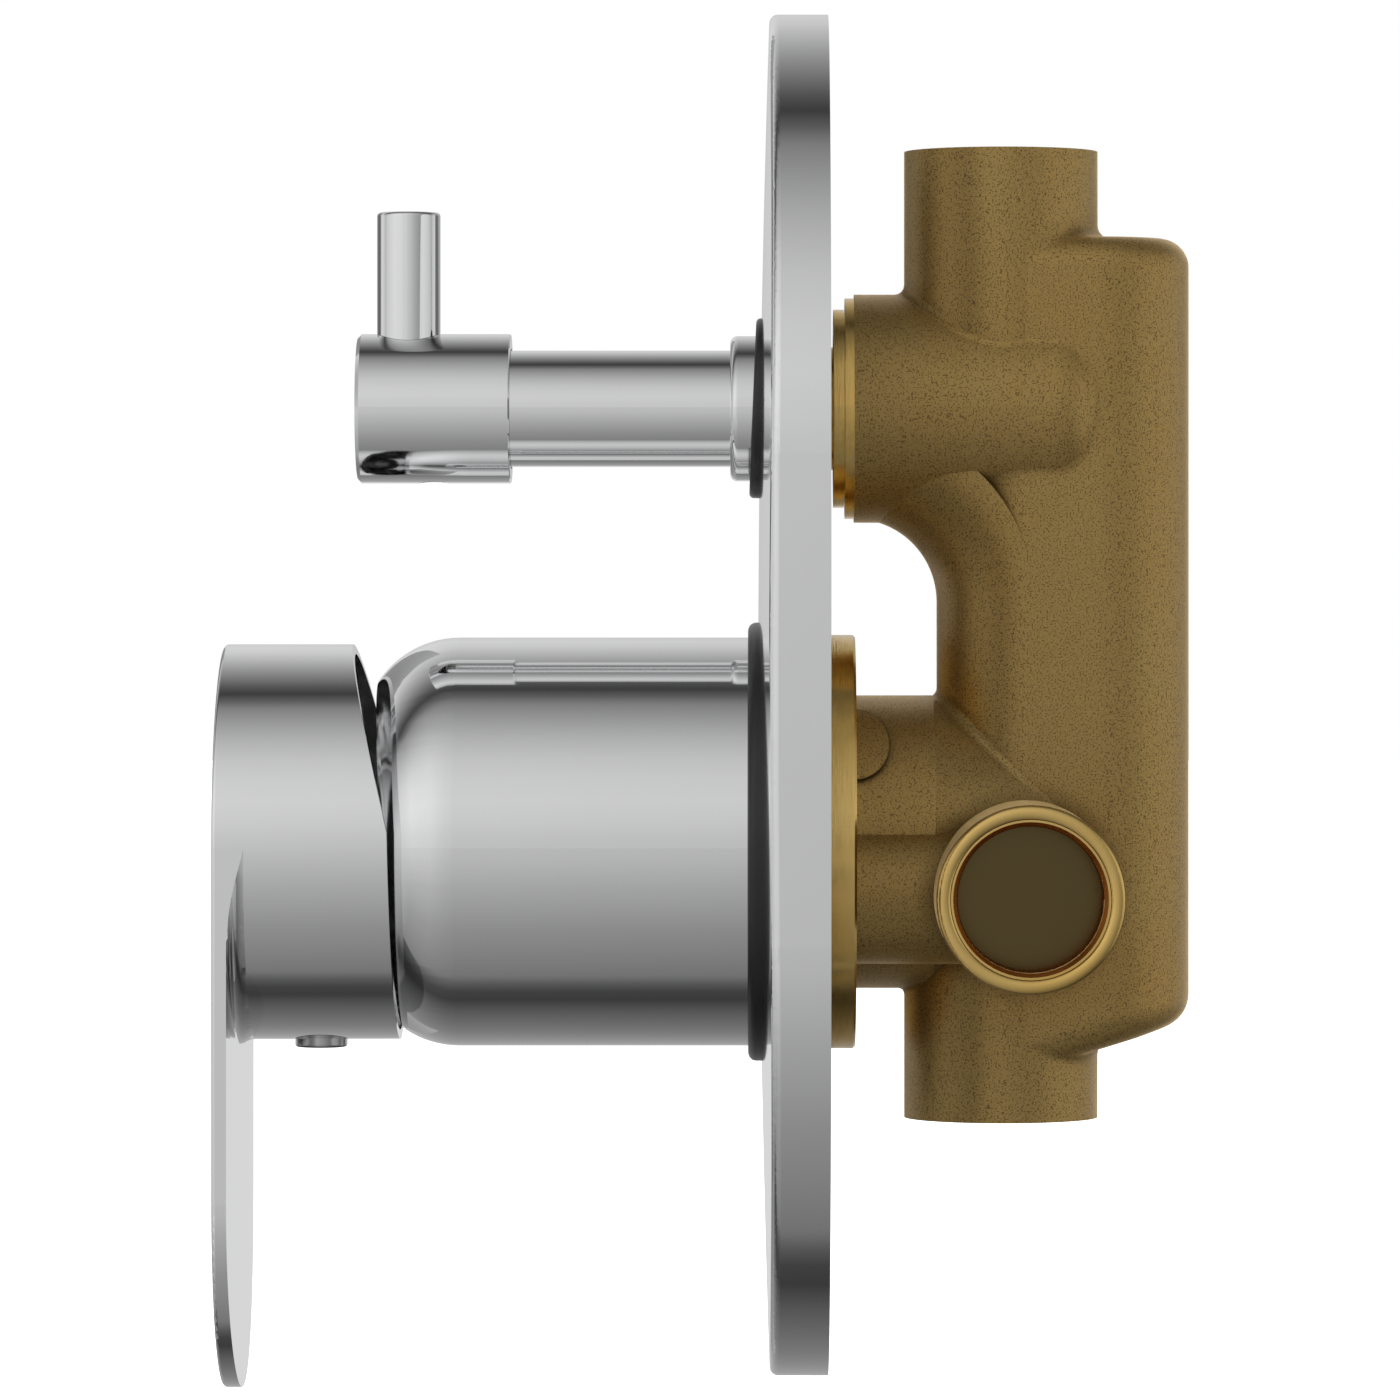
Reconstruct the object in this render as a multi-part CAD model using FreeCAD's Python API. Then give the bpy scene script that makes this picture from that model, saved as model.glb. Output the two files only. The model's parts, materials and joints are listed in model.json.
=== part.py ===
import FreeCAD, Part
import math
import os

# Concealed single-lever shower mixer with a diverter, in millimetres, +Z up.
# The user stands on the -Y side and the wall and the brass body are on the +Y side.
# The origin is where the mixer axis, along Y, meets the back plane of the wall plate.

# Gaps shared by many fits, and how far a cutter runs past the face it opens
SEAT_GAP = 0.3
THREAD_GAP = 0.3
FACE_GAP = 0.05
OVER = 1.0

# Wall plate
PLATE_WIDTH = 120.0
PLATE_HEIGHT = 180.9
PLATE_CENTRE_Z = 19.6
PLATE_END_FLAT = 0.5
PLATE_CORNER = PLATE_WIDTH / 2 - PLATE_END_FLAT
PLATE_RIM = 7.77
PLATE_CROWN = 1.5
PLATE_WALL = 1.6
PLATE_EDGE_ROUND = 1.2
PLATE_HOLE_GAP = 0.4
PLATE_FRONT = -(PLATE_RIM + PLATE_CROWN)

# Mixer sleeve, the chrome tube through the plate; its mouth is given as
# (how far in front of the straight part, height)
SLEEVE_R = 27.2
SLEEVE_WALL = 1.3
SLEEVE_BACK = -3.1
SLEEVE_END = -49.0
SLEEVE_SHOULDER_R = 13.0
SLEEVE_MOUTH_TOP = (10.8, 21.3)
SLEEVE_MOUTH_BOTTOM = (7.5, -25.3)
SLEEVE_BORE_R = SLEEVE_R - SLEEVE_WALL

# Brass cartridge housing with the ring that shows behind the plate
RING_PROUD = 0.35
RING_R = SLEEVE_R + RING_PROUD
RING_BACK = 3.6
RING_CHAMFER = 0.3
RING_SLEEVE_GAP = 0.1
BARREL_GAP = 1.3
BARREL_R = SLEEVE_BORE_R - BARREL_GAP
BARREL_FRONT = SLEEVE_END
CARTRIDGE_R = 17.4
NUT_RIM = 3.2
NUT_BORE_R = CARTRIDGE_R + NUT_RIM
NUT_BORE_DEPTH = 5.5
SPIGOT_R = 15.8
SPIGOT_LENGTH = 8.0
SPIGOT_CHAMFER = 1.0
SPIGOT_SEAL_INSET = 3.0
SPIGOT_END_GAP = 0.4
SPIGOT_END = RING_BACK + SPIGOT_LENGTH
WATERWAY_R = 2.8
WATERWAY_SIDE = 7.5
WATERWAY_LOW = -4.5
WATERWAY_HIGH = 8.0
WAYS = ((WATERWAY_SIDE, WATERWAY_LOW), (-WATERWAY_SIDE, WATERWAY_LOW), (0, WATERWAY_HIGH))

# Rubber rings: half the thickness of each round section
SLEEVE_RING_R = 0.95
SLEEVE_RING_PLACES = (-12.0, -40.0)
PORT_RING_R = 0.9
PORT_RING_MEAN_R = WATERWAY_R + 1.4
SMALL_RING_R = 0.8

# Ceramic cartridge, from its shell inwards
SHELL_R = CARTRIDGE_R
SHELL_WALL = 1.8
SHELL_SINK = 4.0
SHELL_STEP = 1.9
SHELL_NOSE = 8.0
SHELL_LIP = 0.8
SHELL_NECK_R = SHELL_R - SHELL_STEP
SHELL_BORE_R = SHELL_R - SHELL_WALL
SHELL_SHOULDER = BARREL_FRONT + SHELL_SINK
SHELL_FRONT = SHELL_SHOULDER - SHELL_NOSE
POCKET_R = SHELL_R + SEAT_GAP
BASE_INSET = 0.2
BASE_THICK = 3.4
BASE_LIFT = 0.2
DISC_THICK = 3.2
SLIDE_GAP = 0.05
CARRIER_ROOM = 2.1
CARRIER_R = SHELL_BORE_R - CARRIER_ROOM
CARRIER_THICK = 5.4
CARRIER_FLOOR = 0.5
CARRIER_START_Z = 1.8
MOVING_DISC_INSET = 0.1
MIX_HOLLOW_R = 5.4
MIX_HOLLOW_RISE = 5.0
MIX_HOLLOW_DEPTH = 2.0
ROTOR_R = 12.02
ROTOR_RUN_GAP = 0.08
ROTOR_FLANGE_GAP = 0.2
ROTOR_FLANGE_THICK = 3.15
ROTOR_LIP_GAP = 0.1
ROTOR_PROUD = 0.8

# Stack of the cartridge, from the rotor's flange back to the floor of the pocket
ROTOR_SHOULDER = SHELL_SHOULDER - SHELL_LIP + ROTOR_LIP_GAP
ROTOR_BACK = ROTOR_SHOULDER + ROTOR_FLANGE_THICK
CARRIER_FRONT = ROTOR_BACK + SEAT_GAP
MOVING_FRONT = CARRIER_FRONT + CARRIER_THICK
MOVING_BACK = MOVING_FRONT + DISC_THICK
FIXED_FRONT = MOVING_BACK + SLIDE_GAP
BASE_FRONT = FIXED_FRONT + DISC_THICK
BASE_BACK = BASE_FRONT + BASE_THICK
POCKET_FLOOR = BASE_BACK + BASE_LIFT

# Pivot pin and lever stem
PIVOT_FORWARD = 1.0
PIVOT_PIN_R = 1.5
PIVOT_PIN_SINK = 1.0
PIVOT_RUN_GAP = 0.06
PIVOT_Y = BARREL_FRONT - PIVOT_FORWARD
STEM_SIDE = 8.0
STEM_TAIL = 3.4
STEM_SWING = 4.2
STEM_BALL_R = 2.8
STEM_NECK_R = 2.0
BALL_GAP = 0.15
BALL_END_GAP = 0.25
BALL_Y = MOVING_FRONT - CARRIER_FLOOR - BALL_END_GAP - STEM_BALL_R

# Nut and dome over the cartridge
NUT_R = NUT_BORE_R - THREAD_GAP
NUT_HOLE_R = SHELL_NECK_R + 0.4
NUT_LENGTH = 5.6
NUT_CHAMFER = 0.5
NUT_SLOTS = 6
NUT_SLOT_WIDTH = 4.0
NUT_SLOT_DEPTH = 1.6
DOME_STEP = 1.0
DOME_R = BARREL_R - DOME_STEP
DOME_WALL = 1.2
DOME_RIM = 1.5
DOME_HOLE_R = 13.5
DOME_HEIGHT = 10.4
DOME_SHOULDER = (7.4, 4.0)

# Lever handle: a cup with a flat blade that hangs from its front; the rim is cut in two
# planes, given by how far in front of the sleeve's straight part they lie
HANDLE_STEP = 0.9
HANDLE_R = SLEEVE_R - HANDLE_STEP
HANDLE_REACH = 31.3
HANDLE_FRONT = SLEEVE_END - HANDLE_REACH
HANDLE_SKIRT = 1.3
HANDLE_FACE = 3.4
HANDLE_EDGE_ROUND = 0.5
RIM_BEND = (8.5, 2.0)
RIM_TOP = 14.2
RIM_BOTTOM = 7.9
BLADE_EDGE_THICK = 1.97
BLADE_CROWN = 0.45
BLADE_DROP = 46.3
BLADE_FILLET = 2.5
BOSS_R = 8.0
BOSS_LENGTH = 14.9
BOSS_BACK = HANDLE_FRONT + HANDLE_FACE + BOSS_LENGTH
STEM_FIT_GAP = 0.1
STEM_INSET = 1.0
STEM_FRONT = HANDLE_FRONT + HANDLE_FACE + STEM_INSET
LOCK_INSET = 12.8
LOCK_Y = HANDLE_FRONT + LOCK_INSET
LOCK_SCREW_R = 2.95
LOCK_SCREW_LENGTH = 10.0
LOCK_SCREW_POINT = 1.0
LOCK_SCREW_GAP = 0.1
LOCK_POST_R = 4.8
LOCK_KEY = 3.0
PLUG_R = 3.5
PLUG_LENGTH = 5.0
PLUG_PROUD = 1.05
PLUG_DOME = 0.4

# Diverter headwork, on its own axis above the mixer
DIVERTER_Z = 57.7
COLLAR_R = 9.675
COLLAR_PROUD = 3.73
COLLAR_FRONT = PLATE_FRONT - COLLAR_PROUD
COLLAR_EDGE = 1.0
COLLAR_WALL = 1.2
COLLAR_WEB = 1.5
COLLAR_SEAT_GAP = 0.32
CHAMBER_FRONT = 3.47
STEP_THICK = 1.4
STEP_GROOVE = 0.13
STEP_LARGE_THICK = 1.22
STEP_LARGE_FRONT = CHAMBER_FRONT - STEP_LARGE_THICK
STEP_BACK = STEP_LARGE_FRONT - STEP_GROOVE
STEP_FRONT = STEP_BACK - STEP_THICK
COLLAR_BACK = STEP_FRONT - COLLAR_SEAT_GAP
CHAMBER_R = 15.2
STEP_R = 13.2
STEP_GROOVE_R = STEP_R - 0.4
STEP_LARGE_R = CHAMBER_R - 0.5
HEAD_INSET = 2.5
HEAD_FRONT = COLLAR_FRONT + HEAD_INSET
HEAD_NECK_R = COLLAR_R - COLLAR_WALL - THREAD_GAP
HEAD_CHAMFER = 0.5
HEAD_THREAD_R = 12.0
HEAD_THREAD_LENGTH = 9.53
HEAD_THREAD_BACK = CHAMBER_FRONT + HEAD_THREAD_LENGTH
COLLAR_SEAL_Y = HEAD_FRONT + 4.0
CAGE_R = 9.7
CAGE_WALL = 0.9
CAGE_WINDOW = 6.0
CAGE_WINDOW_START = 0.6
CAGE_FOOT = 5.6
CHAMBER_BORE_R = CAGE_R + SEAT_GAP
CHAMBER_DEPTH = 11.0
CHAMBER_FLOOR = HEAD_THREAD_BACK + CHAMBER_DEPTH

# Diverter discs and seal, stacked on the floor of the chamber
DIVERTER_DISC_R = CAGE_R - CAGE_WALL - 0.2
DIVERTER_DISC_THICK = 2.6
DISC_PORT_R = 2.6
DISC_PORT_OFFSET = 4.4
BASE_SEAL_THICK = 0.9
SEAL_PORT_GAP = 0.2
CAGE_BACK = CHAMBER_FLOOR - BASE_SEAL_THICK
DISC_FACE = CAGE_BACK - DIVERTER_DISC_THICK
ROTARY_BACK = DISC_FACE - SLIDE_GAP
ROTARY_FRONT = ROTARY_BACK - DIVERTER_DISC_THICK

# Spindle, its clip and the adaptor in front of it
SPINDLE_R = 4.0
SPINDLE_RUN_GAP = 0.08
SPINDLE_REACH = 7.5
SPINDLE_FRONT = HEAD_FRONT - SPINDLE_REACH
SPINDLE_HEAD_R = 7.5
SPINDLE_HEAD_GAP = 0.2
SPINDLE_HEAD_THICK = 2.5
SPINDLE_NECK_R = 2.4
SPINDLE_FLAT = 2.8
TANG_THICK = 2.0
TANG_DEPTH = 1.1
TANG_GAP = 0.1
TANG_TURN = 45.0
CLIP_THICK = 1.0
CLIP_R = 5.6
CLIP_GROOVE = 0.7
CLIP_OPENING = 4.8
CLIP_BACK = HEAD_FRONT - SEAT_GAP
CLIP_FRONT = CLIP_BACK - CLIP_THICK
STEM_TUBE_R = 7.75
STEM_TUBE_WALL = 1.25
STEM_TUBE_LAP = 1.0
STEM_TUBE_BORE_R = STEM_TUBE_R - STEM_TUBE_WALL
ADAPTOR_R = 4.95
ADAPTOR_SOCKET_GAP = 0.1
ADAPTOR_CLEAR = 0.9
ADAPTOR_TUBE_GAP = 0.4
ADAPTOR_WALL_END = 3.0
ADAPTOR_CHAMFER = 0.5
ADAPTOR_FLAT = 0.8
ADAPTOR_FLAT_LENGTH = 10.0

# Diverter knob, its pin and its locking screw
KNOB_R = 9.95
KNOB_FRONT = -62.6
KNOB_LENGTH = 20.4
KNOB_BACK = KNOB_FRONT + KNOB_LENGTH
KNOB_EDGE = 0.5
KNOB_BACK_EDGE = 0.15
KNOB_SKIRT_R = STEM_TUBE_R + SEAT_GAP
KNOB_SKIRT_DEPTH = STEM_TUBE_LAP + SEAT_GAP
KNOB_FACE = 3.3
KNOB_BORE_R = ADAPTOR_R + 0.15
KNOB_BORE_FLOOR = KNOB_FRONT + KNOB_FACE
ADAPTOR_FRONT = KNOB_BORE_FLOOR + 0.5
KNOB_PIN_R = 4.22
KNOB_PIN_INSET = 6.75
KNOB_PIN_Y = KNOB_FRONT + KNOB_PIN_INSET
KNOB_PIN_HEIGHT = 26.13
KNOB_PIN_TOP = DIVERTER_Z + KNOB_PIN_HEIGHT
KNOB_PIN_EDGE = 0.5
KNOB_PIN_SEAT_GAP = 0.02
KNOB_PIN_SCREW_R = 2.5
KNOB_PIN_SCREW_GAP = 0.1
KNOB_PIN_SCREW_LENGTH = 3.6
KNOB_LOCK_INSET = 10.0
KNOB_LOCK_Y = KNOB_FRONT + KNOB_LOCK_INSET
KNOB_LOCK_R = 2.1
KNOB_LOCK_GAP = 0.08
KNOB_LOCK_SINK = 0.35
KNOB_LOCK_KEY = 2.0

# Rubber gaskets in front of the plate
GASKET_PROUD = 1.25
GASKET_R = SLEEVE_R + 2.2
GASKET_SMALL_THICK = 0.8
GASKET_SMALL_R = COLLAR_R + 2.35
GASKET_ROUND = 1.2
GASKET_SMALL_ROUND = 0.6
GASKET_GRIP = 0.1
GASKET_SEAT = 0.08

# Cast brass body
NECK_R = 19.5
NECK_STRAIGHT_TO = 14.0
NECK_END = 31.0
COLUMN_HALF = 12.6
NECK_END_R = COLUMN_HALF + 0.5
NECK_TAPER = (NECK_R - NECK_END_R) / (NECK_END - NECK_STRAIGHT_TO)
COLUMN_FRONT = 14.5
COLUMN_BACK = 48.1
COLUMN_RISE = 22.57
COLUMN_TOP = DIVERTER_Z + COLUMN_RISE
COLUMN_TOP_ROUND = 3.8
COLUMN_FOOT_Z = -23.6
COLUMN_FOOT_SLOPE = math.tan(math.radians(16.5))
COLUMN_FOOT_ROUND = 4.5
CHAMBER_END = 36.0
CHAMBER_END_ROUND = 6.0
ELBOW_R = 11.0
ELBOW_SINK = 0.5
SPIGOT_AXIS_Y = 23.07
OUTLET_R = 12.9
OUTLET_RISE = 34.2
OUTLET_TOP = DIVERTER_Z + OUTLET_RISE
OUTLET_BOTTOM = -36.7
PORT_Y = 25.8
PORT_Z = -6.3
PORT_R = 12.2
PORT_FACE_X = 38.0
PORT_DEPTH = 10.0
RIB_R = 9.3
RIB_X = NECK_R - 5.1
PAD_Y = 3.4
PAD_Z = NECK_R - 6.2
PAD_R = 4.6
PAD_PROUD = 0.8
HEAD_FILLET = 1.3
OUTLET_FILLET = 1.9
FORK_FILLET = 0.8
FOOT_FILLET = 1.5
NECK_FILLET = 1.2

# Half-inch pipe thread: drill size, mouth and depth in the outlets, and the ways between
PIPE_DRILL_R = 9.5
PIPE_MOUTH_R = 10.9
OUTLET_DEPTH = 15.0
PASSAGE_R = 4.0
RETURN_PASSAGE_Y = COLUMN_BACK - 8.7
MIXED_PASSAGE_Y = COLUMN_FRONT + 5.5

MUCH = 200.0


def vec(x, y, z):
    return FreeCAD.Vector(x, y, z)


def turned(outline, axis_z=0.0):
    """Solid turned about a line along Y. Each point is (y, radius), or (y, radius, via) for an arc."""

    def place(y, radius):
        return vec(radius, y, axis_z)

    edges = []
    start = place(*outline[0][:2])
    for corner in outline[1:] + outline[:1]:
        end = place(*corner[:2])
        if len(corner) == 3:
            edges.append(Part.Arc(start, place(*corner[2]), end).toShape())
        else:
            edges.append(Part.makeLine(start, end))
        start = end
    face = Part.Face(Part.Wire(edges))
    return face.revolve(vec(0, 0, axis_z), vec(0, 1, 0), 360)


def rod_y(radius, y_from, y_to, x=0.0, z=0.0):
    return Part.makeCylinder(radius, y_to - y_from, vec(x, y_from, z), vec(0, 1, 0))


def rod_z(radius, z_from, z_to, y, x=0.0):
    return Part.makeCylinder(radius, z_to - z_from, vec(x, y, z_from), vec(0, 0, 1))


def rod_x(radius, x_from, x_to, y, z=0.0):
    return Part.makeCylinder(radius, x_to - x_from, vec(x_from, y, z), vec(1, 0, 0))


def block(low, high):
    size = [b - a for a, b in zip(low, high)]
    return Part.makeBox(size[0], size[1], size[2], vec(*low))


def prism_x(outline, half_width):
    """Prism along X over an outline of (y, z) points."""
    points = [vec(-half_width, y, z) for y, z in outline]
    face = Part.Face(Part.makePolygon(points + points[:1]))
    return face.extrude(vec(2 * half_width, 0, 0))


def rubber_ring(mean_r, section_r, y, x=0.0, z=0.0):
    return Part.makeTorus(mean_r, section_r, vec(x, y, z), vec(0, 1, 0))


def hexagon(across, start, direction, length):
    """Hexagonal prism, for a key socket."""
    prism = Part.makeCylinder(across / math.sqrt(3), length)
    for turn in range(6):
        cutter = Part.makeBox(across, 2 * across, length, vec(across / 2, -across, 0))
        cutter.rotate(vec(0, 0, 0), vec(0, 0, 1), 60 * turn)
        prism = prism.cut(cutter)
    prism.Placement = FreeCAD.Placement(start, FreeCAD.Rotation(vec(0, 0, 1), direction))
    return prism


def clean(shape):
    """The shape without the seams that joining leaves."""
    return shape.removeSplitter()


def rounded_rectangle(width, height, corner, centre_z, y):
    """Flat face of a rounded rectangle that stands in a plane across Y."""
    x, z = width / 2, height / 2
    corner_x, corner_z = x - corner, z - corner
    reach = corner * math.sqrt(0.5)
    edges = []
    for sx, sz in ((1, 1), (-1, 1), (-1, -1), (1, -1)):
        side_end = vec(sx * x, y, centre_z + sz * corner_z)
        top_end = vec(sx * corner_x, y, centre_z + sz * z)
        middle = vec(sx * (corner_x + reach), y, centre_z + sz * (corner_z + reach))
        edges.append(Part.Arc(side_end, middle, top_end).toShape())
    edges.append(Part.makeLine(vec(corner_x, y, centre_z + z), vec(-corner_x, y, centre_z + z)))
    edges.append(Part.makeLine(vec(-x, y, centre_z + corner_z), vec(-x, y, centre_z - corner_z)))
    edges.append(Part.makeLine(vec(-corner_x, y, centre_z - z), vec(corner_x, y, centre_z - z)))
    edges.append(Part.makeLine(vec(x, y, centre_z - corner_z), vec(x, y, centre_z + corner_z)))
    return Part.Face(Part.Wire(Part.__sortEdges__(edges)))


def crowned_block(front_y, width, height, back_y):
    """Block whose front is crowned both across and up, falling by the crown at its edges."""
    across_r = (width / 2) ** 2 / (2 * PLATE_CROWN)
    upward_r = (height / 2) ** 2 / (2 * PLATE_CROWN)
    half = width / 2 + 2 * OVER
    sag = across_r - math.sqrt(across_r**2 - half**2)
    deep = front_y + sag
    arc = Part.Arc(vec(-half, deep, 0), vec(0, front_y, 0), vec(half, deep, 0)).toShape()
    sides = [
        Part.makeLine(vec(half, deep, 0), vec(half, back_y, 0)),
        Part.makeLine(vec(half, back_y, 0), vec(-half, back_y, 0)),
        Part.makeLine(vec(-half, back_y, 0), vec(-half, deep, 0)),
    ]
    face = Part.Face(Part.Wire([arc] + sides))
    swing = math.degrees((height / 2 + 4 * OVER) / upward_r)
    hinge = vec(0, front_y + upward_r, 0)
    face.rotate(hinge, vec(1, 0, 0), -swing)
    swept = face.revolve(hinge, vec(1, 0, 0), 2 * swing)
    swept.translate(vec(0, 0, PLATE_CENTRE_Z))
    return swept


def crown_at(x, z):
    """Y of the plate's front surface at a place on it."""
    share = (2 * x / PLATE_WIDTH) ** 2 + (2 * (z - PLATE_CENTRE_Z) / PLATE_HEIGHT) ** 2
    return PLATE_FRONT + PLATE_CROWN * share


# The plate is pressed from sheet: a shallow tray with a crowned front.
def make_wall_plate():
    outline = rounded_rectangle(PLATE_WIDTH, PLATE_HEIGHT, PLATE_CORNER, PLATE_CENTRE_Z, 0)
    tray = outline.extrude(vec(0, 2 * PLATE_FRONT, 0))
    tray = tray.common(crowned_block(PLATE_FRONT, PLATE_WIDTH, PLATE_HEIGHT, OVER))
    front_edges = [e for e in tray.Edges if e.BoundBox.YMax < -PLATE_RIM / 2]
    tray = tray.makeFillet(PLATE_EDGE_ROUND, front_edges)
    inner = rounded_rectangle(
        PLATE_WIDTH - 2 * PLATE_WALL,
        PLATE_HEIGHT - 2 * PLATE_WALL,
        PLATE_CORNER - PLATE_WALL,
        PLATE_CENTRE_Z,
        OVER,
    )
    hollow = inner.extrude(vec(0, 2 * PLATE_FRONT, 0))
    behind = crowned_block(PLATE_FRONT + PLATE_WALL, PLATE_WIDTH, PLATE_HEIGHT, 2 * OVER)
    tray = tray.cut(hollow.common(behind))
    tray = tray.cut(rod_y(SLEEVE_R + PLATE_HOLE_GAP, 2 * PLATE_FRONT, OVER))
    return tray.cut(rod_y(COLLAR_R + PLATE_HOLE_GAP, 2 * PLATE_FRONT, OVER, z=DIVERTER_Z))


# The chrome sleeve is a tube with a rounded shoulder and a mouth that is cut aslant.
def make_mixer_sleeve():
    def shouldered(back, radius, shoulder):
        corner_r = radius - shoulder
        reach = shoulder * math.sqrt(0.5)
        return turned([
            (back, 0),
            (back, radius),
            (SLEEVE_END, radius),
            (SLEEVE_END - shoulder, corner_r, (SLEEVE_END - reach, corner_r + reach)),
            (SLEEVE_END - shoulder, 0),
        ])

    outer = shouldered(SLEEVE_BACK, SLEEVE_R, SLEEVE_SHOULDER_R)
    inner = shouldered(SLEEVE_BACK - OVER, SLEEVE_BORE_R, SLEEVE_SHOULDER_R - SLEEVE_WALL)
    inner = inner.fuse(rod_y(SLEEVE_BORE_R, SLEEVE_END, SLEEVE_BACK + OVER))
    (top_y, top_z), (low_y, low_z) = SLEEVE_MOUTH_TOP, SLEEVE_MOUTH_BOTTOM
    slope = (low_y - top_y) / (low_z - top_z)
    reach = SLEEVE_R + SLEEVE_SHOULDER_R
    mouth = prism_x([
        (SLEEVE_END - top_y - slope * (reach - top_z), reach),
        (SLEEVE_END - low_y - slope * (-reach - low_z), -reach),
        (SLEEVE_END - 3 * SLEEVE_SHOULDER_R, -reach),
        (SLEEVE_END - 3 * SLEEVE_SHOULDER_R, reach),
    ], reach)
    return outer.cut(inner).cut(mouth)


def waterways(y_from, y_to, radius):
    """The ways through the cartridge seat: two inlets side by side below, the mixed one above."""
    rods = [rod_y(radius, y_from, y_to, x, z) for x, z in WAYS]
    return rods[0].fuse(rods[1:])


def ring_groove(outer_r, floor_r, section_r, y, z=0.0):
    """Turned groove for a rubber ring in the outside of a round part."""
    half = section_r + 2 * FACE_GAP
    groove = rod_y(outer_r + OVER, y - half, y + half, z=z)
    return groove.cut(rod_y(floor_r, y - half, y + half, z=z))


# Turned brass housing: ring behind the plate, barrel inside the sleeve, screwed into the body.
def make_cartridge_housing():
    ring_front = SLEEVE_BACK + RING_SLEEVE_GAP
    housing = turned([
        (SPIGOT_END, 0),
        (SPIGOT_END, SPIGOT_R - SPIGOT_CHAMFER),
        (SPIGOT_END - SPIGOT_CHAMFER, SPIGOT_R),
        (RING_BACK, SPIGOT_R),
        (RING_BACK, RING_R - RING_CHAMFER),
        (RING_BACK - RING_CHAMFER, RING_R),
        (ring_front, RING_R),
        (ring_front, BARREL_R),
        (BARREL_FRONT, BARREL_R),
        (BARREL_FRONT, NUT_BORE_R),
        (BARREL_FRONT + NUT_BORE_DEPTH, NUT_BORE_R),
        (BARREL_FRONT + NUT_BORE_DEPTH, POCKET_R),
        (POCKET_FLOOR, POCKET_R),
        (POCKET_FLOOR, 0),
    ])
    floor = SLEEVE_BORE_R - 2 * SLEEVE_RING_R - 2 * FACE_GAP
    for y in SLEEVE_RING_PLACES:
        housing = housing.cut(ring_groove(BARREL_R, floor, SLEEVE_RING_R, y))
    floor = SPIGOT_R + THREAD_GAP - 2 * SMALL_RING_R - 2 * FACE_GAP
    seal_y = SPIGOT_END - SPIGOT_SEAL_INSET
    housing = housing.cut(ring_groove(SPIGOT_R, floor, SMALL_RING_R, seal_y))
    return housing.cut(waterways(POCKET_FLOOR - OVER, SPIGOT_END + OVER, WATERWAY_R))


def make_sleeve_seals():
    mean_r = SLEEVE_BORE_R - FACE_GAP - SLEEVE_RING_R
    return Part.makeCompound([rubber_ring(mean_r, SLEEVE_RING_R, y) for y in SLEEVE_RING_PLACES])


def make_housing_seal():
    mean_r = SPIGOT_R + THREAD_GAP - FACE_GAP - SMALL_RING_R
    return rubber_ring(mean_r, SMALL_RING_R, SPIGOT_END - SPIGOT_SEAL_INSET)


def make_port_seals():
    y = POCKET_FLOOR - FACE_GAP - PORT_RING_R
    rings = [rubber_ring(PORT_RING_MEAN_R, PORT_RING_R, y, x, z) for x, z in WAYS]
    return Part.makeCompound(rings)


# Moulded base of the cartridge, with a groove for a rubber ring round each way.
def make_cartridge_base():
    base = rod_y(SHELL_R - BASE_INSET, BASE_FRONT, BASE_BACK)
    base = base.cut(waterways(BASE_FRONT - OVER, BASE_BACK + OVER, WATERWAY_R))
    depth = 2 * PORT_RING_R + 2 * FACE_GAP - BASE_LIFT
    outer_r = PORT_RING_MEAN_R + PORT_RING_R + FACE_GAP
    return base.cut(waterways(BASE_BACK - depth, BASE_BACK + OVER, outer_r))


def make_cartridge_shell():
    run_r = ROTOR_R + ROTOR_RUN_GAP
    lip = SHELL_SHOULDER - SHELL_LIP
    return turned([
        (BASE_FRONT, SHELL_R),
        (SHELL_SHOULDER, SHELL_R),
        (SHELL_SHOULDER, SHELL_NECK_R),
        (SHELL_FRONT, SHELL_NECK_R),
        (SHELL_FRONT, run_r),
        (lip, run_r),
        (lip, SHELL_BORE_R),
        (BASE_FRONT, SHELL_BORE_R),
    ])


def make_fixed_disc():
    disc = rod_y(SHELL_BORE_R - SEAT_GAP, FIXED_FRONT, BASE_FRONT)
    return disc.cut(waterways(FIXED_FRONT - OVER, BASE_FRONT + OVER, WATERWAY_R))


# The moving disc has a hollow of two lobes. The upper one stays over the mixed way, and the
# lower one slides down to the inlets as the lever lifts and swings to one of them as it turns.
def make_moving_disc():
    disc = rod_y(CARRIER_R - MOVING_DISC_INSET, MOVING_FRONT, MOVING_BACK, z=CARRIER_START_Z)
    front = MOVING_BACK - MIX_HOLLOW_DEPTH
    for z in (CARRIER_START_Z + MIX_HOLLOW_RISE, 0):
        disc = disc.cut(rod_y(MIX_HOLLOW_R, front, MOVING_BACK + OVER, z=z))
    return disc


def make_disc_carrier():
    carrier = rod_y(CARRIER_R, CARRIER_FRONT, MOVING_FRONT, z=CARRIER_START_Z)
    floor = MOVING_FRONT - CARRIER_FLOOR
    return carrier.cut(rod_y(STEM_BALL_R + BALL_GAP, CARRIER_FRONT - OVER, floor))


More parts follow.
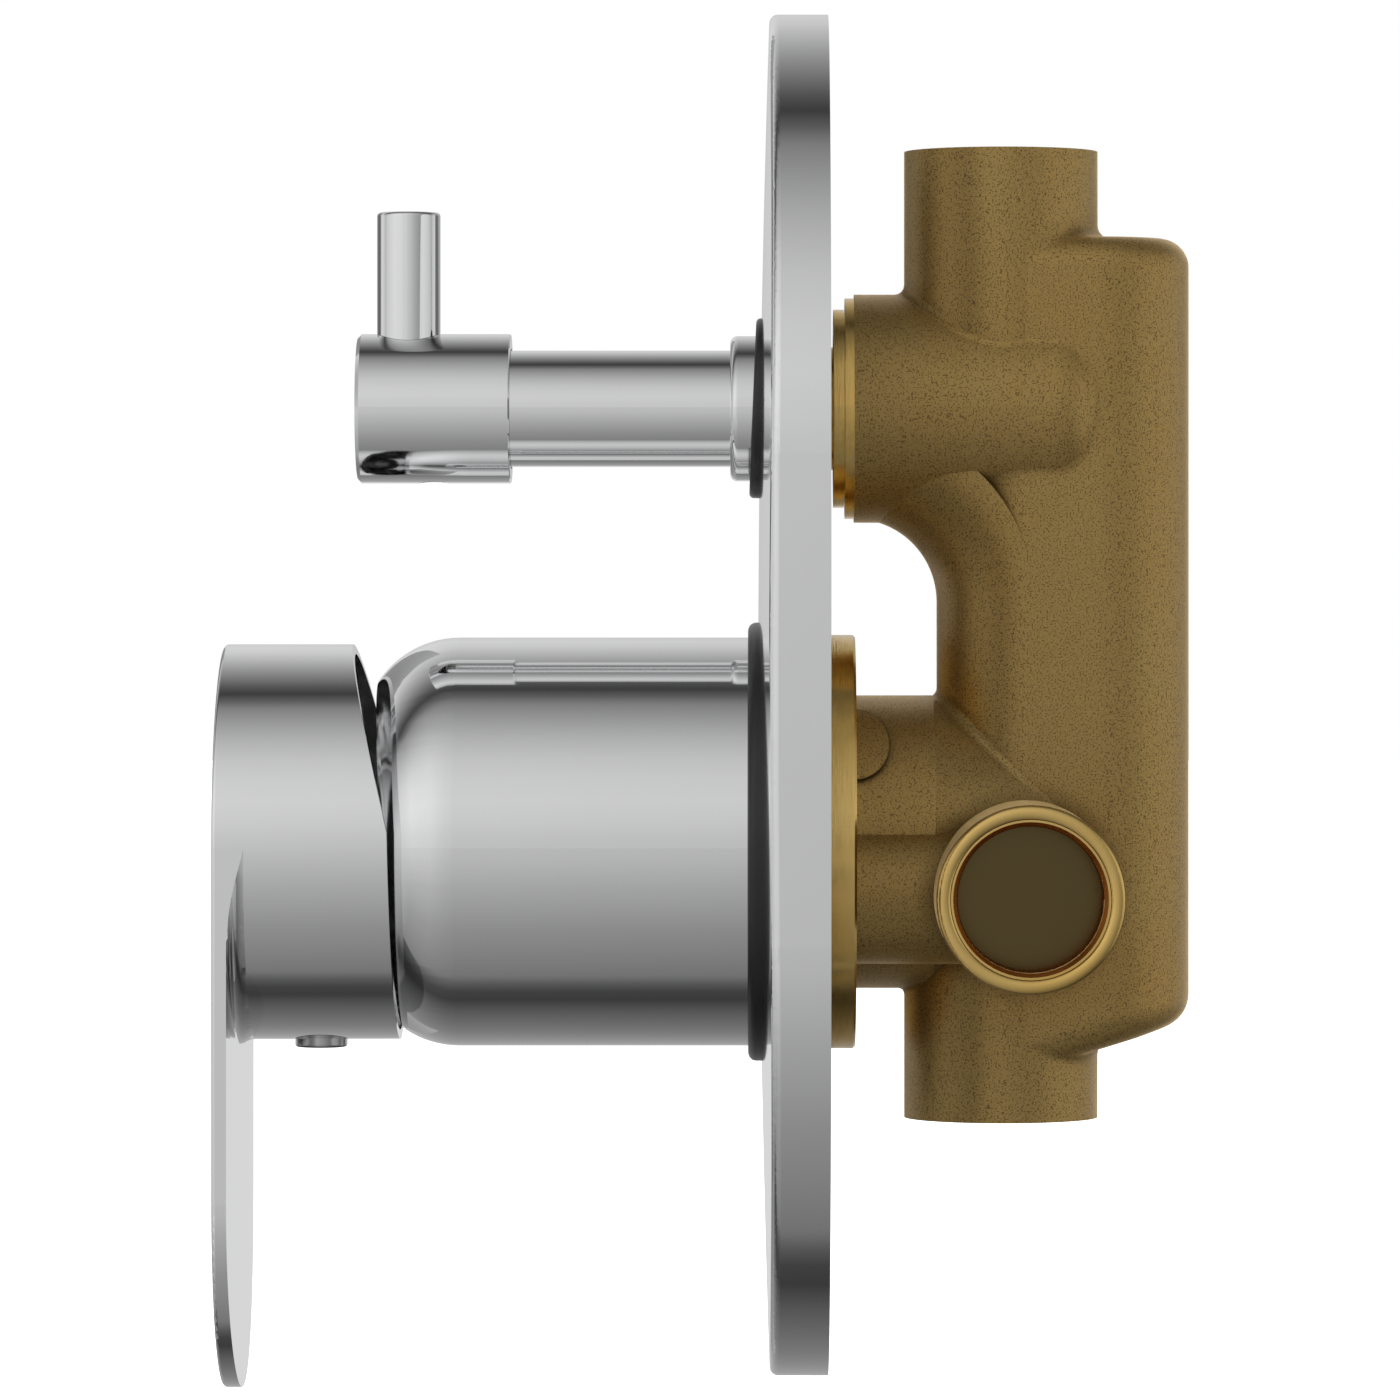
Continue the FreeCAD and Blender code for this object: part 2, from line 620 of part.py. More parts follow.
# The rotor turns in the shell and carries the pivot pin; a slot lets the stem tilt.
def make_lever_rotor():
    front = SHELL_FRONT - ROTOR_PROUD
    flange_r = SHELL_BORE_R - ROTOR_FLANGE_GAP
    rotor = turned([
        (ROTOR_BACK, 0),
        (ROTOR_BACK, flange_r),
        (ROTOR_SHOULDER, flange_r),
        (ROTOR_SHOULDER, ROTOR_R),
        (front, ROTOR_R),
        (front, 0),
    ])
    half = STEM_SIDE / 2 + SEAT_GAP
    high = STEM_SIDE / 2 + STEM_SWING
    rotor = rotor.cut(block((-half, front - OVER, -high), (half, ROTOR_BACK + OVER, high)))
    return rotor.cut(rod_x(PIVOT_PIN_R, -ROTOR_R - OVER, ROTOR_R + OVER, PIVOT_Y))


def make_pivot_pin():
    half = ROTOR_R - PIVOT_PIN_SINK
    return rod_x(PIVOT_PIN_R, -half, half, PIVOT_Y)


# Square stem with a ball end that drives the disc carrier.
def make_lever_stem():
    half = STEM_SIDE / 2
    stem = block((-half, STEM_FRONT, -half), (half, PIVOT_Y + STEM_TAIL, half))
    stem = stem.fuse(rod_y(STEM_NECK_R, PIVOT_Y, BALL_Y))
    stem = stem.fuse(Part.makeSphere(STEM_BALL_R, vec(0, BALL_Y, 0)))
    return clean(stem.cut(rod_x(PIVOT_PIN_R + PIVOT_RUN_GAP, -half - OVER, half + OVER, PIVOT_Y)))


def make_retaining_nut():
    back = SHELL_SHOULDER
    front = back - NUT_LENGTH
    nut = turned([
        (back, NUT_HOLE_R),
        (back, NUT_R),
        (front + NUT_CHAMFER, NUT_R),
        (front, NUT_R - NUT_CHAMFER),
        (front, NUT_HOLE_R),
    ])
    for turn in range(NUT_SLOTS):
        slot = block((0, front - OVER, -NUT_SLOT_WIDTH / 2),
                     (NUT_R + OVER, front + NUT_SLOT_DEPTH, NUT_SLOT_WIDTH / 2))
        slot.rotate(vec(0, 0, 0), vec(0, 1, 0), turn * 360 / NUT_SLOTS)
        nut = nut.cut(slot)
    return nut


# Chrome dome that hides the nut and leaves room for the stem to tilt.
def make_dome_cover():
    rim = BARREL_FRONT - DOME_RIM
    top = BARREL_FRONT - DOME_HEIGHT
    shoulder_y = BARREL_FRONT - DOME_SHOULDER[0]
    shoulder_r = DOME_R - DOME_SHOULDER[1]
    skew = DOME_WALL * math.sqrt(0.5)
    return turned([
        (BARREL_FRONT, DOME_R - DOME_WALL),
        (BARREL_FRONT, DOME_R),
        (rim, DOME_R),
        (top, DOME_HOLE_R, (shoulder_y, shoulder_r)),
        (top + DOME_WALL, DOME_HOLE_R),
        (rim, DOME_R - DOME_WALL, (shoulder_y + skew, shoulder_r - skew)),
    ])


def stadium(y_from, y_to):
    """Outline of the lever seen from the front: the round head and the blade that hangs from it."""
    outline = rod_y(HANDLE_R, y_from, y_to)
    outline = outline.fuse(rod_y(HANDLE_R, y_from, y_to, z=-BLADE_DROP))
    outline = outline.fuse(block((-HANDLE_R, y_from, -BLADE_DROP), (HANDLE_R, y_to, 0)))
    return clean(outline)


def blade():
    """Flat blade, a little thicker along its middle."""
    back = HANDLE_FRONT + BLADE_EDGE_THICK + BLADE_CROWN
    crown_r = HANDLE_R**2 / (2 * BLADE_CROWN)
    low = -BLADE_DROP - 2 * HANDLE_R
    crown = rod_z(crown_r, low, 2 * HANDLE_R, back - crown_r)
    return stadium(HANDLE_FRONT, back).common(crown)


def blade_fillet():
    """Hollow curve that runs the blade's back into the round head."""
    root = HANDLE_FRONT + BLADE_EDGE_THICK
    reach = BLADE_FILLET * (1 - math.sqrt(0.5))
    inside = HANDLE_R - HANDLE_SKIRT
    ring = turned([
        (root - BLADE_CROWN, inside),
        (root - BLADE_CROWN, HANDLE_R + BLADE_FILLET + BLADE_CROWN),
        (root + BLADE_CROWN / 2, HANDLE_R + BLADE_FILLET),
        (root + BLADE_FILLET, HANDLE_R, (root + reach, HANDLE_R + reach)),
        (root + BLADE_FILLET, inside),
    ])
    return ring.common(stadium(HANDLE_FRONT, root + BLADE_FILLET))


def rim_cutter():
    """Everything behind the head's rim, which is cut in two flat planes that meet across it."""
    bend, bend_z = RIM_BEND
    high = 2 * HANDLE_R
    upper = (RIM_TOP - bend) / (HANDLE_R - bend_z)
    lower = (RIM_BOTTOM - bend) / (-HANDLE_R - bend_z)
    return prism_x([
        (SLEEVE_END - bend, bend_z),
        (SLEEVE_END - bend - upper * (high - bend_z), high),
        (0, high),
        (0, -high),
        (SLEEVE_END - bend - lower * (-high - bend_z), -high),
    ], high)


# Lever handle cast in one piece: cup, blade, stem socket and the post for its locking screw.
def make_handle():
    head = rod_y(HANDLE_R, HANDLE_FRONT, SLEEVE_END)
    body = clean(head.fuse(blade()).fuse(blade_fillet()))
    outline_edges = [e for e in body.Edges if e.BoundBox.YMax < HANDLE_FRONT + FACE_GAP]
    body = body.makeFillet(HANDLE_EDGE_ROUND, outline_edges)
    face_back = HANDLE_FRONT + HANDLE_FACE
    inside = rod_y(HANDLE_R - HANDLE_SKIRT, face_back, SLEEVE_END + OVER)
    body = body.cut(inside).cut(rim_cutter())
    boss = rod_y(BOSS_R, face_back - OVER, BOSS_BACK)
    post = rod_z(LOCK_POST_R, -HANDLE_R + HANDLE_SKIRT / 2, -STEM_SIDE / 2 - OVER, LOCK_Y)
    body = body.fuse(boss).fuse(post)
    half = STEM_SIDE / 2 + STEM_FIT_GAP
    front = STEM_FRONT - SEAT_GAP
    body = body.cut(block((-half, front, -half), (half, BOSS_BACK + OVER, half)))
    body = body.cut(rod_z(LOCK_SCREW_R + LOCK_SCREW_GAP, -HANDLE_R - OVER, 0, LOCK_Y))
    plug_seat = -HANDLE_R - PLUG_PROUD + PLUG_LENGTH
    return body.cut(rod_z(PLUG_R + LOCK_SCREW_GAP, -HANDLE_R - OVER, plug_seat, LOCK_Y))


def make_handle_screw():
    top = -STEM_SIDE / 2 - FACE_GAP
    shank_top = top - LOCK_SCREW_POINT
    bottom = top - LOCK_SCREW_LENGTH
    screw = rod_z(LOCK_SCREW_R, bottom, shank_top, LOCK_Y)
    tip_r = LOCK_SCREW_R - LOCK_SCREW_POINT
    tip = Part.makeCone(LOCK_SCREW_R, tip_r, LOCK_SCREW_POINT, vec(0, LOCK_Y, shank_top))
    key = hexagon(LOCK_KEY, vec(0, LOCK_Y, bottom - OVER), vec(0, 0, 1), LOCK_KEY + OVER)
    return clean(screw.fuse(tip).cut(key))


def make_index_plug():
    bottom = -HANDLE_R - PLUG_PROUD
    plug = rod_z(PLUG_R, bottom, bottom + PLUG_LENGTH - FACE_GAP, LOCK_Y)
    rim = [e for e in plug.Edges if e.BoundBox.ZMax < bottom + FACE_GAP]
    return plug.makeFillet(PLUG_DOME, rim)


# Turned brass headwork of the diverter; its two steps show behind the plate.
def make_diverter_body():
    z = DIVERTER_Z
    run_r = SPINDLE_R + SPINDLE_RUN_GAP
    roof = HEAD_THREAD_BACK - OVER
    head = turned([
        (HEAD_FRONT, run_r),
        (HEAD_FRONT, HEAD_NECK_R - HEAD_CHAMFER),
        (HEAD_FRONT + HEAD_CHAMFER, HEAD_NECK_R),
        (STEP_FRONT, HEAD_NECK_R),
        (STEP_FRONT, STEP_R),
        (STEP_BACK, STEP_R),
        (STEP_BACK, STEP_GROOVE_R),
        (STEP_LARGE_FRONT, STEP_GROOVE_R),
        (STEP_LARGE_FRONT, STEP_LARGE_R),
        (CHAMBER_FRONT, STEP_LARGE_R),
        (CHAMBER_FRONT, HEAD_THREAD_R),
        (HEAD_THREAD_BACK, HEAD_THREAD_R),
        (HEAD_THREAD_BACK, CAGE_R),
        (CAGE_BACK, CAGE_R),
        (CAGE_BACK, CAGE_R - CAGE_WALL),
        (roof, CAGE_R - CAGE_WALL),
        (roof, run_r),
    ], z)
    half = CAGE_WINDOW / 2
    head = head.cut(block((-half, HEAD_THREAD_BACK + CAGE_WINDOW_START, z - MUCH),
                          (half, CAGE_BACK - CAGE_FOOT, z + MUCH)))
    floor = COLLAR_R - COLLAR_WALL - 2 * SMALL_RING_R - 2 * FACE_GAP
    return head.cut(ring_groove(HEAD_NECK_R, floor, SMALL_RING_R, COLLAR_SEAL_Y, z))


def make_collar_seal():
    mean_r = COLLAR_R - COLLAR_WALL - FACE_GAP - SMALL_RING_R
    return rubber_ring(mean_r, SMALL_RING_R, COLLAR_SEAL_Y, z=DIVERTER_Z)


def port_pair(y_from, y_to, radius):
    upper = rod_y(radius, y_from, y_to, z=DIVERTER_Z + DISC_PORT_OFFSET)
    return upper.fuse(rod_y(radius, y_from, y_to, z=DIVERTER_Z - DISC_PORT_OFFSET))


def make_diverter_base_seal():
    seal = rod_y(DIVERTER_DISC_R, CAGE_BACK, CHAMBER_FLOOR, z=DIVERTER_Z)
    return seal.cut(port_pair(CAGE_BACK - OVER, CHAMBER_FLOOR + OVER, DISC_PORT_R + SEAL_PORT_GAP))


def make_diverter_fixed_disc():
    disc = rod_y(DIVERTER_DISC_R, DISC_FACE, CAGE_BACK, z=DIVERTER_Z)
    return disc.cut(port_pair(DISC_FACE - OVER, CAGE_BACK + OVER, DISC_PORT_R))


def tang_bar(half_thick, half_long, y_from, y_to):
    """Bar across the spindle's end, set aslant so that it passes between the disc's ports."""
    bar = rod_y(half_long, y_from, y_to, z=DIVERTER_Z)
    bar = bar.common(block((-MUCH, y_from, DIVERTER_Z - half_thick),
                           (MUCH, y_to, DIVERTER_Z + half_thick)))
    bar.rotate(vec(0, 0, DIVERTER_Z), vec(0, 1, 0), TANG_TURN)
    return bar


# The turning disc has two ports a quarter turn apart, so each end of its turn opens one outlet.
def make_diverter_moving_disc():
    z = DIVERTER_Z
    disc = rod_y(DIVERTER_DISC_R - SEAL_PORT_GAP, ROTARY_FRONT, ROTARY_BACK, z=z)
    for port_x, port_z in ((0, DISC_PORT_OFFSET), (DISC_PORT_OFFSET, 0)):
        port = rod_y(DISC_PORT_R, ROTARY_FRONT - OVER, ROTARY_BACK + OVER, port_x, z + port_z)
        disc = disc.cut(port)
    slot_end = ROTARY_FRONT + TANG_DEPTH + TANG_GAP
    return disc.cut(tang_bar(TANG_THICK / 2 + TANG_GAP, CAGE_R, ROTARY_FRONT - OVER, slot_end))


# Brass spindle: flatted drive in front, clip groove, flange, neck and tang behind.
def make_diverter_spindle():
    z = DIVERTER_Z
    flange_front = HEAD_THREAD_BACK - OVER + SPINDLE_HEAD_GAP
    flange_back = flange_front + SPINDLE_HEAD_THICK
    neck_back = ROTARY_FRONT - TANG_GAP
    spindle = turned([
        (SPINDLE_FRONT, 0),
        (SPINDLE_FRONT, SPINDLE_R),
        (CLIP_FRONT, SPINDLE_R),
        (CLIP_FRONT, SPINDLE_R - CLIP_GROOVE),
        (CLIP_BACK, SPINDLE_R - CLIP_GROOVE),
        (CLIP_BACK, SPINDLE_R),
        (flange_front, SPINDLE_R),
        (flange_front, SPINDLE_HEAD_R),
        (flange_back, SPINDLE_HEAD_R),
        (flange_back, SPINDLE_NECK_R),
        (neck_back, SPINDLE_NECK_R),
        (neck_back, 0),
    ], z)
    tang = tang_bar(TANG_THICK / 2, SPINDLE_HEAD_R, neck_back - OVER, ROTARY_FRONT + TANG_DEPTH)
    flat = block((-MUCH, SPINDLE_FRONT - OVER, z + SPINDLE_FLAT),
                 (MUCH, CLIP_FRONT - ADAPTOR_CLEAR / 2, z + MUCH))
    return spindle.fuse(tang).cut(flat)


def make_spindle_clip():
    z = DIVERTER_Z
    front, back = CLIP_FRONT + FACE_GAP, CLIP_BACK - FACE_GAP
    clip = rod_y(CLIP_R, front, back, z=z)
    clip = clip.cut(rod_y(SPINDLE_R - CLIP_GROOVE + FACE_GAP, front - OVER, back + OVER, z=z))
    half = CLIP_OPENING / 2
    return clip.cut(block((-half, front - OVER, z - MUCH), (half, back + OVER, z)))


# Adaptor that carries the turn from the spindle to the knob.
def make_spindle_adaptor():
    z = DIVERTER_Z
    socket_floor = SPINDLE_FRONT - SEAT_GAP
    back = CLIP_FRONT - ADAPTOR_CLEAR
    wide_r = STEM_TUBE_BORE_R - ADAPTOR_TUBE_GAP
    taper = socket_floor - ADAPTOR_WALL_END
    adaptor = turned([
        (back, 0),
        (back, wide_r),
        (taper, wide_r),
        (taper - (wide_r - ADAPTOR_R), ADAPTOR_R),
        (ADAPTOR_FRONT + ADAPTOR_CHAMFER, ADAPTOR_R),
        (ADAPTOR_FRONT, ADAPTOR_R - ADAPTOR_CHAMFER),
        (ADAPTOR_FRONT, 0),
    ], z)
    socket = rod_y(SPINDLE_R + ADAPTOR_SOCKET_GAP, socket_floor, back + OVER, z=z)
    socket = socket.cut(block((-MUCH, socket_floor - OVER, z + SPINDLE_FLAT + ADAPTOR_SOCKET_GAP),
                              (MUCH, back + 2 * OVER, z + MUCH)))
    flat = block((-MUCH, ADAPTOR_FRONT - OVER, z - MUCH),
                 (MUCH, ADAPTOR_FRONT + ADAPTOR_FLAT_LENGTH, z - ADAPTOR_R + ADAPTOR_FLAT))
    return adaptor.cut(socket).cut(flat)


# Chrome stem sleeve with its collar, turned in one piece.
def make_diverter_sleeve():
    front = KNOB_BACK - STEM_TUBE_LAP
    round_mid = COLLAR_EDGE * (1 - math.sqrt(0.5))
    return turned([
        (COLLAR_BACK, COLLAR_R),
        (COLLAR_FRONT + COLLAR_EDGE, COLLAR_R),
        (COLLAR_FRONT, COLLAR_R - COLLAR_EDGE,
         (COLLAR_FRONT + round_mid, COLLAR_R - round_mid)),
        (COLLAR_FRONT, STEM_TUBE_R),
        (front, STEM_TUBE_R),
        (front, STEM_TUBE_BORE_R),
        (COLLAR_FRONT + COLLAR_WEB, STEM_TUBE_BORE_R),
        (COLLAR_FRONT + COLLAR_WEB, COLLAR_R - COLLAR_WALL),
        (COLLAR_BACK, COLLAR_R - COLLAR_WALL),
    ], DIVERTER_Z)


def make_knob():
    z = DIVERTER_Z
    knob = turned([
        (KNOB_BACK, 0),
        (KNOB_BACK, KNOB_R - KNOB_BACK_EDGE),
        (KNOB_BACK - KNOB_BACK_EDGE, KNOB_R),
        (KNOB_FRONT + KNOB_EDGE, KNOB_R),
        (KNOB_FRONT, KNOB_R - KNOB_EDGE),
        (KNOB_FRONT, 0),
    ], z)
    knob = knob.cut(rod_y(KNOB_BORE_R, KNOB_BORE_FLOOR, KNOB_BACK + OVER, z=z))
    knob = knob.cut(rod_y(KNOB_SKIRT_R, KNOB_BACK - KNOB_SKIRT_DEPTH, KNOB_BACK + OVER, z=z))
    floor = z + KNOB_R - KNOB_PIN_SCREW_LENGTH - SEAT_GAP
    knob = knob.cut(rod_z(KNOB_PIN_SCREW_R + KNOB_PIN_SCREW_GAP, floor, z + MUCH, KNOB_PIN_Y))
    return knob.cut(rod_z(KNOB_LOCK_R, z - MUCH, z, KNOB_LOCK_Y))


# Upright pin, screwed into the knob and shaped to sit on its round side.
def make_knob_pin():
    z = DIVERTER_Z
    pin = rod_z(KNOB_PIN_R, z, KNOB_PIN_TOP, KNOB_PIN_Y)
    top = [e for e in pin.Edges if e.BoundBox.ZMin > KNOB_PIN_TOP - FACE_GAP]
    pin = pin.makeFillet(KNOB_PIN_EDGE, top)
    pin = pin.cut(rod_y(KNOB_R + KNOB_PIN_SEAT_GAP, KNOB_FRONT - MUCH, KNOB_BACK, z=z))
    foot = z + KNOB_R - KNOB_PIN_SCREW_LENGTH
    return pin.fuse(rod_z(KNOB_PIN_SCREW_R, foot, z + KNOB_R + OVER, KNOB_PIN_Y))


def make_knob_screw():
    bottom = DIVERTER_Z - KNOB_R + KNOB_LOCK_SINK
    top = DIVERTER_Z - ADAPTOR_R + ADAPTOR_FLAT - FACE_GAP
    screw = rod_z(KNOB_LOCK_R - KNOB_LOCK_GAP, bottom, top, KNOB_LOCK_Y)
    start = vec(0, KNOB_LOCK_Y, bottom - OVER)
    return screw.cut(hexagon(KNOB_LOCK_KEY, start, vec(0, 0, 1), KNOB_LOCK_KEY + OVER))


def gasket(inner_r, outer_r, front, round_r):
    """Rubber ring with a rounded front edge, in front of the plane of the wall."""
    middle = round_r * (1 - math.sqrt(0.5))
    return turned([
        (0, inner_r),
        (0, outer_r),
        (front + round_r, outer_r),
        (front, outer_r - round_r, (front + middle, outer_r - middle)),
        (front, inner_r),
    ])


def seated(ring):
    """The ring without what would be inside the plate, so that its back follows the plate's crown."""
    return ring.cut(crowned_block(PLATE_FRONT - GASKET_SEAT, PLATE_WIDTH, PLATE_HEIGHT, 2 * OVER))


def make_large_gasket():
    return seated(gasket(SLEEVE_R + GASKET_GRIP, GASKET_R, PLATE_FRONT - GASKET_PROUD, GASKET_ROUND))


# The small gasket lies flat on the plate's crown, which slopes back a little at its height.
def make_small_gasket():
    slope = 8 * PLATE_CROWN * (DIVERTER_Z - PLATE_CENTRE_Z) / PLATE_HEIGHT**2
    surface = crown_at(0, DIVERTER_Z)
    front = surface - GASKET_SEAT - GASKET_SMALL_THICK
    ring = gasket(COLLAR_R + GASKET_GRIP, GASKET_SMALL_R, front, GASKET_SMALL_ROUND)
    ring.rotate(vec(0, surface, 0), vec(1, 0, 0), -math.degrees(math.atan(slope)))
    ring.translate(vec(0, 0, DIVERTER_Z))
    return seated(ring)


def column():
    """Upright oval column of the casting, rounded on top and sloping at its foot."""
    front_y = COLUMN_FRONT + COLUMN_HALF
    back_y = COLUMN_BACK - COLUMN_HALF
    nose_z = COLUMN_FOOT_Z - COLUMN_FOOT_SLOPE * (COLUMN_BACK - COLUMN_FRONT + OVER)
    low = nose_z - OVER
    solid = rod_z(COLUMN_HALF, low, COLUMN_TOP, front_y)
    solid = solid.fuse(rod_z(COLUMN_HALF, low, COLUMN_TOP, back_y))
    solid = clean(solid.fuse(block((-COLUMN_HALF, front_y, low), (COLUMN_HALF, back_y, COLUMN_TOP))))
    foot = prism_x([
        (COLUMN_BACK + OVER, COLUMN_FOOT_Z + COLUMN_FOOT_SLOPE * OVER),
        (COLUMN_FRONT - OVER, nose_z),
        (COLUMN_FRONT - OVER, low - OVER),
        (COLUMN_BACK + OVER, low - OVER),
    ], COLUMN_HALF + OVER)
    solid = solid.cut(foot)
    top = [e for e in solid.Edges if e.BoundBox.ZMin > COLUMN_TOP - FACE_GAP]
    solid = solid.makeFillet(COLUMN_TOP_ROUND, top)
    bottom = [e for e in solid.Edges if e.BoundBox.ZMax < COLUMN_FOOT_Z + OVER]
    return solid.makeFillet(COLUMN_FOOT_ROUND, bottom)


def elbow():
    """Hollow bend under the diverter chamber, where the column's nose runs forward."""
    hinge_y = COLUMN_FRONT - ELBOW_R
    hinge_z = DIVERTER_Z - CHAMBER_R + ELBOW_SINK - ELBOW_R
    nose_y = COLUMN_FRONT + COLUMN_HALF
    arc = Part.Arc(vec(-COLUMN_HALF, nose_y, hinge_z), vec(0, COLUMN_FRONT, hinge_z),
                   vec(COLUMN_HALF, nose_y, hinge_z)).toShape()
    chord = Part.makeLine(vec(COLUMN_HALF, nose_y, hinge_z), vec(-COLUMN_HALF, nose_y, hinge_z))
    face = Part.Face(Part.Wire([arc, chord]))
    return face.revolve(vec(0, hinge_y, hinge_z), vec(1, 0, 0), 90)


def mixer_neck():
    """Round neck of the mixer, which tapers into the column."""
    return turned([
        (RING_BACK, 0),
        (RING_BACK, NECK_R),
        (NECK_STRAIGHT_TO, NECK_R),
        (NECK_END, NECK_R - NECK_TAPER * (NECK_END - NECK_STRAIGHT_TO)),
        (NECK_END, 0),
    ])


def diverter_chamber():
    straight_end = CHAMBER_END - CHAMBER_END_ROUND
    reach = CHAMBER_END_ROUND * math.sqrt(0.5)
    corner_r = CHAMBER_R - CHAMBER_END_ROUND
    return turned([
        (CHAMBER_FRONT, 0),
        (CHAMBER_FRONT, CHAMBER_R),
        (straight_end, CHAMBER_R),
        (CHAMBER_END, corner_r, (straight_end + reach, corner_r + reach)),
        (CHAMBER_END, 0),
    ], DIVERTER_Z)


def blend(shape, radius, y, z):
    """Rounds the crease that crosses the middle plane at one place."""
    spot = Part.Vertex(vec(0, y, z))
    crease = [
        e for e in shape.Edges
        if e.distToShape(spot)[0] < FACE_GAP and e.BoundBox.XLength > OVER
    ]
    return shape.makeFillet(radius, crease)


def casting_outside():
    """The casting before any machining."""
    upper = rod_z(OUTLET_R, DIVERTER_Z, OUTLET_TOP, SPIGOT_AXIS_Y)
    lower = rod_z(OUTLET_R, OUTLET_BOTTOM, PORT_Z, SPIGOT_AXIS_Y)
    solid = column().fuse([elbow(), diverter_chamber(), mixer_neck(), upper, lower])
    for side in (-1, 1):
        rib = rod_y(RIB_R, RING_BACK, PORT_Y, side * RIB_X, PORT_Z)
        boss = Part.makeCylinder(PORT_R, PORT_FACE_X, vec(0, PORT_Y, PORT_Z), vec(side, 0, 0))
        pad = Part.makeCylinder(PAD_R, NECK_R, vec(0, PAD_Y, PAD_Z), vec(side, 0, 0))
        pad = pad.common(rod_y(NECK_R + PAD_PROUD, RING_BACK, NECK_STRAIGHT_TO))
        solid = solid.fuse([rib, boss, pad])
    solid = clean(solid)
    outlet_front = SPIGOT_AXIS_Y - OUTLET_R
    outlet_back = SPIGOT_AXIS_Y + OUTLET_R
    foot_z = COLUMN_FOOT_Z - (COLUMN_BACK - outlet_back) * COLUMN_FOOT_SLOPE
    crease_r = NECK_R - NECK_TAPER * (COLUMN_FRONT - NECK_STRAIGHT_TO)
    solid = blend(solid, HEAD_FILLET, outlet_front, DIVERTER_Z + CHAMBER_R)
    solid = blend(solid, OUTLET_FILLET, outlet_back, COLUMN_TOP)
    solid = blend(solid, FORK_FILLET, outlet_front, -NECK_R)
    solid = blend(solid, FOOT_FILLET, outlet_back, foot_z)
    return blend(solid, NECK_FILLET, COLUMN_FRONT, crease_r)


def pipe_drilling(depth, mouth, direction):
    """Drilled and chamfered port, from the middle of its mouth and the way that faces."""
    drill = rod_z(PIPE_DRILL_R, -depth, OVER, 0)
    chamfer = PIPE_MOUTH_R - PIPE_DRILL_R
    flare = Part.makeCone(PIPE_DRILL_R, PIPE_MOUTH_R + OVER, chamfer + OVER, vec(0, 0, -chamfer))
    cutter = drill.fuse(flare)
    cutter.Placement = FreeCAD.Placement(mouth, FreeCAD.Rotation(vec(0, 0, 1), direction))
    return cutter


def mixed_way():
    """Way for the mixed water, from the cartridge up into the diverter."""
    start = SPIGOT_END + SPIGOT_END_GAP - OVER
    top = DIVERTER_Z - CHAMBER_BORE_R + OVER
    way = rod_y(PASSAGE_R, start, MIXED_PASSAGE_Y, z=WATERWAY_HIGH)
    corner = Part.makeSphere(PASSAGE_R, vec(0, MIXED_PASSAGE_Y, WATERWAY_HIGH))
    return way.fuse([corner, rod_z(PASSAGE_R, WATERWAY_HIGH, top, MIXED_PASSAGE_Y)])


def outlet_ways():
    """Ways from the diverter's two ports to the upper and the lower outlet."""
    port_r = DISC_PORT_R + SEAL_PORT_GAP
    start = CHAMBER_FLOOR - OVER
    upper_y = CHAMBER_FLOOR + PASSAGE_R
    upper_z = DIVERTER_Z + DISC_PORT_OFFSET
    lower_z = DIVERTER_Z - DISC_PORT_OFFSET
    foot_z = OUTLET_BOTTOM + OUTLET_DEPTH + PASSAGE_R
    upper = rod_y(port_r, start, upper_y, z=upper_z)
    upper = upper.fuse(rod_z(port_r, upper_z, OUTLET_TOP - OUTLET_DEPTH + OVER, upper_y))
    lower = rod_y(port_r, start, RETURN_PASSAGE_Y, z=lower_z)
    lower = lower.fuse([
        rod_z(PASSAGE_R, foot_z, lower_z, RETURN_PASSAGE_Y),
        rod_y(PASSAGE_R, SPIGOT_AXIS_Y, RETURN_PASSAGE_Y, z=foot_z),
        rod_z(PASSAGE_R, OUTLET_BOTTOM + OUTLET_DEPTH - OVER, foot_z, SPIGOT_AXIS_Y),
    ])
    return upper.fuse(lower)


# Sand-cast brass body: two necks, an upright column, two outlets and two side inlets.
def make_body_casting():
    solid = casting_outside()
    socket_end = SPIGOT_END + SPIGOT_END_GAP
    head_end = HEAD_THREAD_BACK + SPIGOT_END_GAP
    solid = solid.cut(rod_y(SPIGOT_R + THREAD_GAP, RING_BACK - OVER, socket_end))
    solid = solid.cut(rod_y(HEAD_THREAD_R + THREAD_GAP, 0, head_end, z=DIVERTER_Z))
    solid = solid.cut(rod_y(CHAMBER_BORE_R, 0, CHAMBER_FLOOR, z=DIVERTER_Z))
    ends = [(OUTLET_DEPTH, vec(0, SPIGOT_AXIS_Y, OUTLET_TOP), vec(0, 0, 1)),
            (OUTLET_DEPTH, vec(0, SPIGOT_AXIS_Y, OUTLET_BOTTOM), vec(0, 0, -1))]
    for side in (-1, 1):
        ends.append((PORT_DEPTH, vec(side * PORT_FACE_X, PORT_Y, PORT_Z), vec(side, 0, 0)))
    for depth, mouth, direction in ends:
        solid = solid.cut(pipe_drilling(depth, mouth, direction))
    return solid.cut(mixed_way()).cut(outlet_ways())


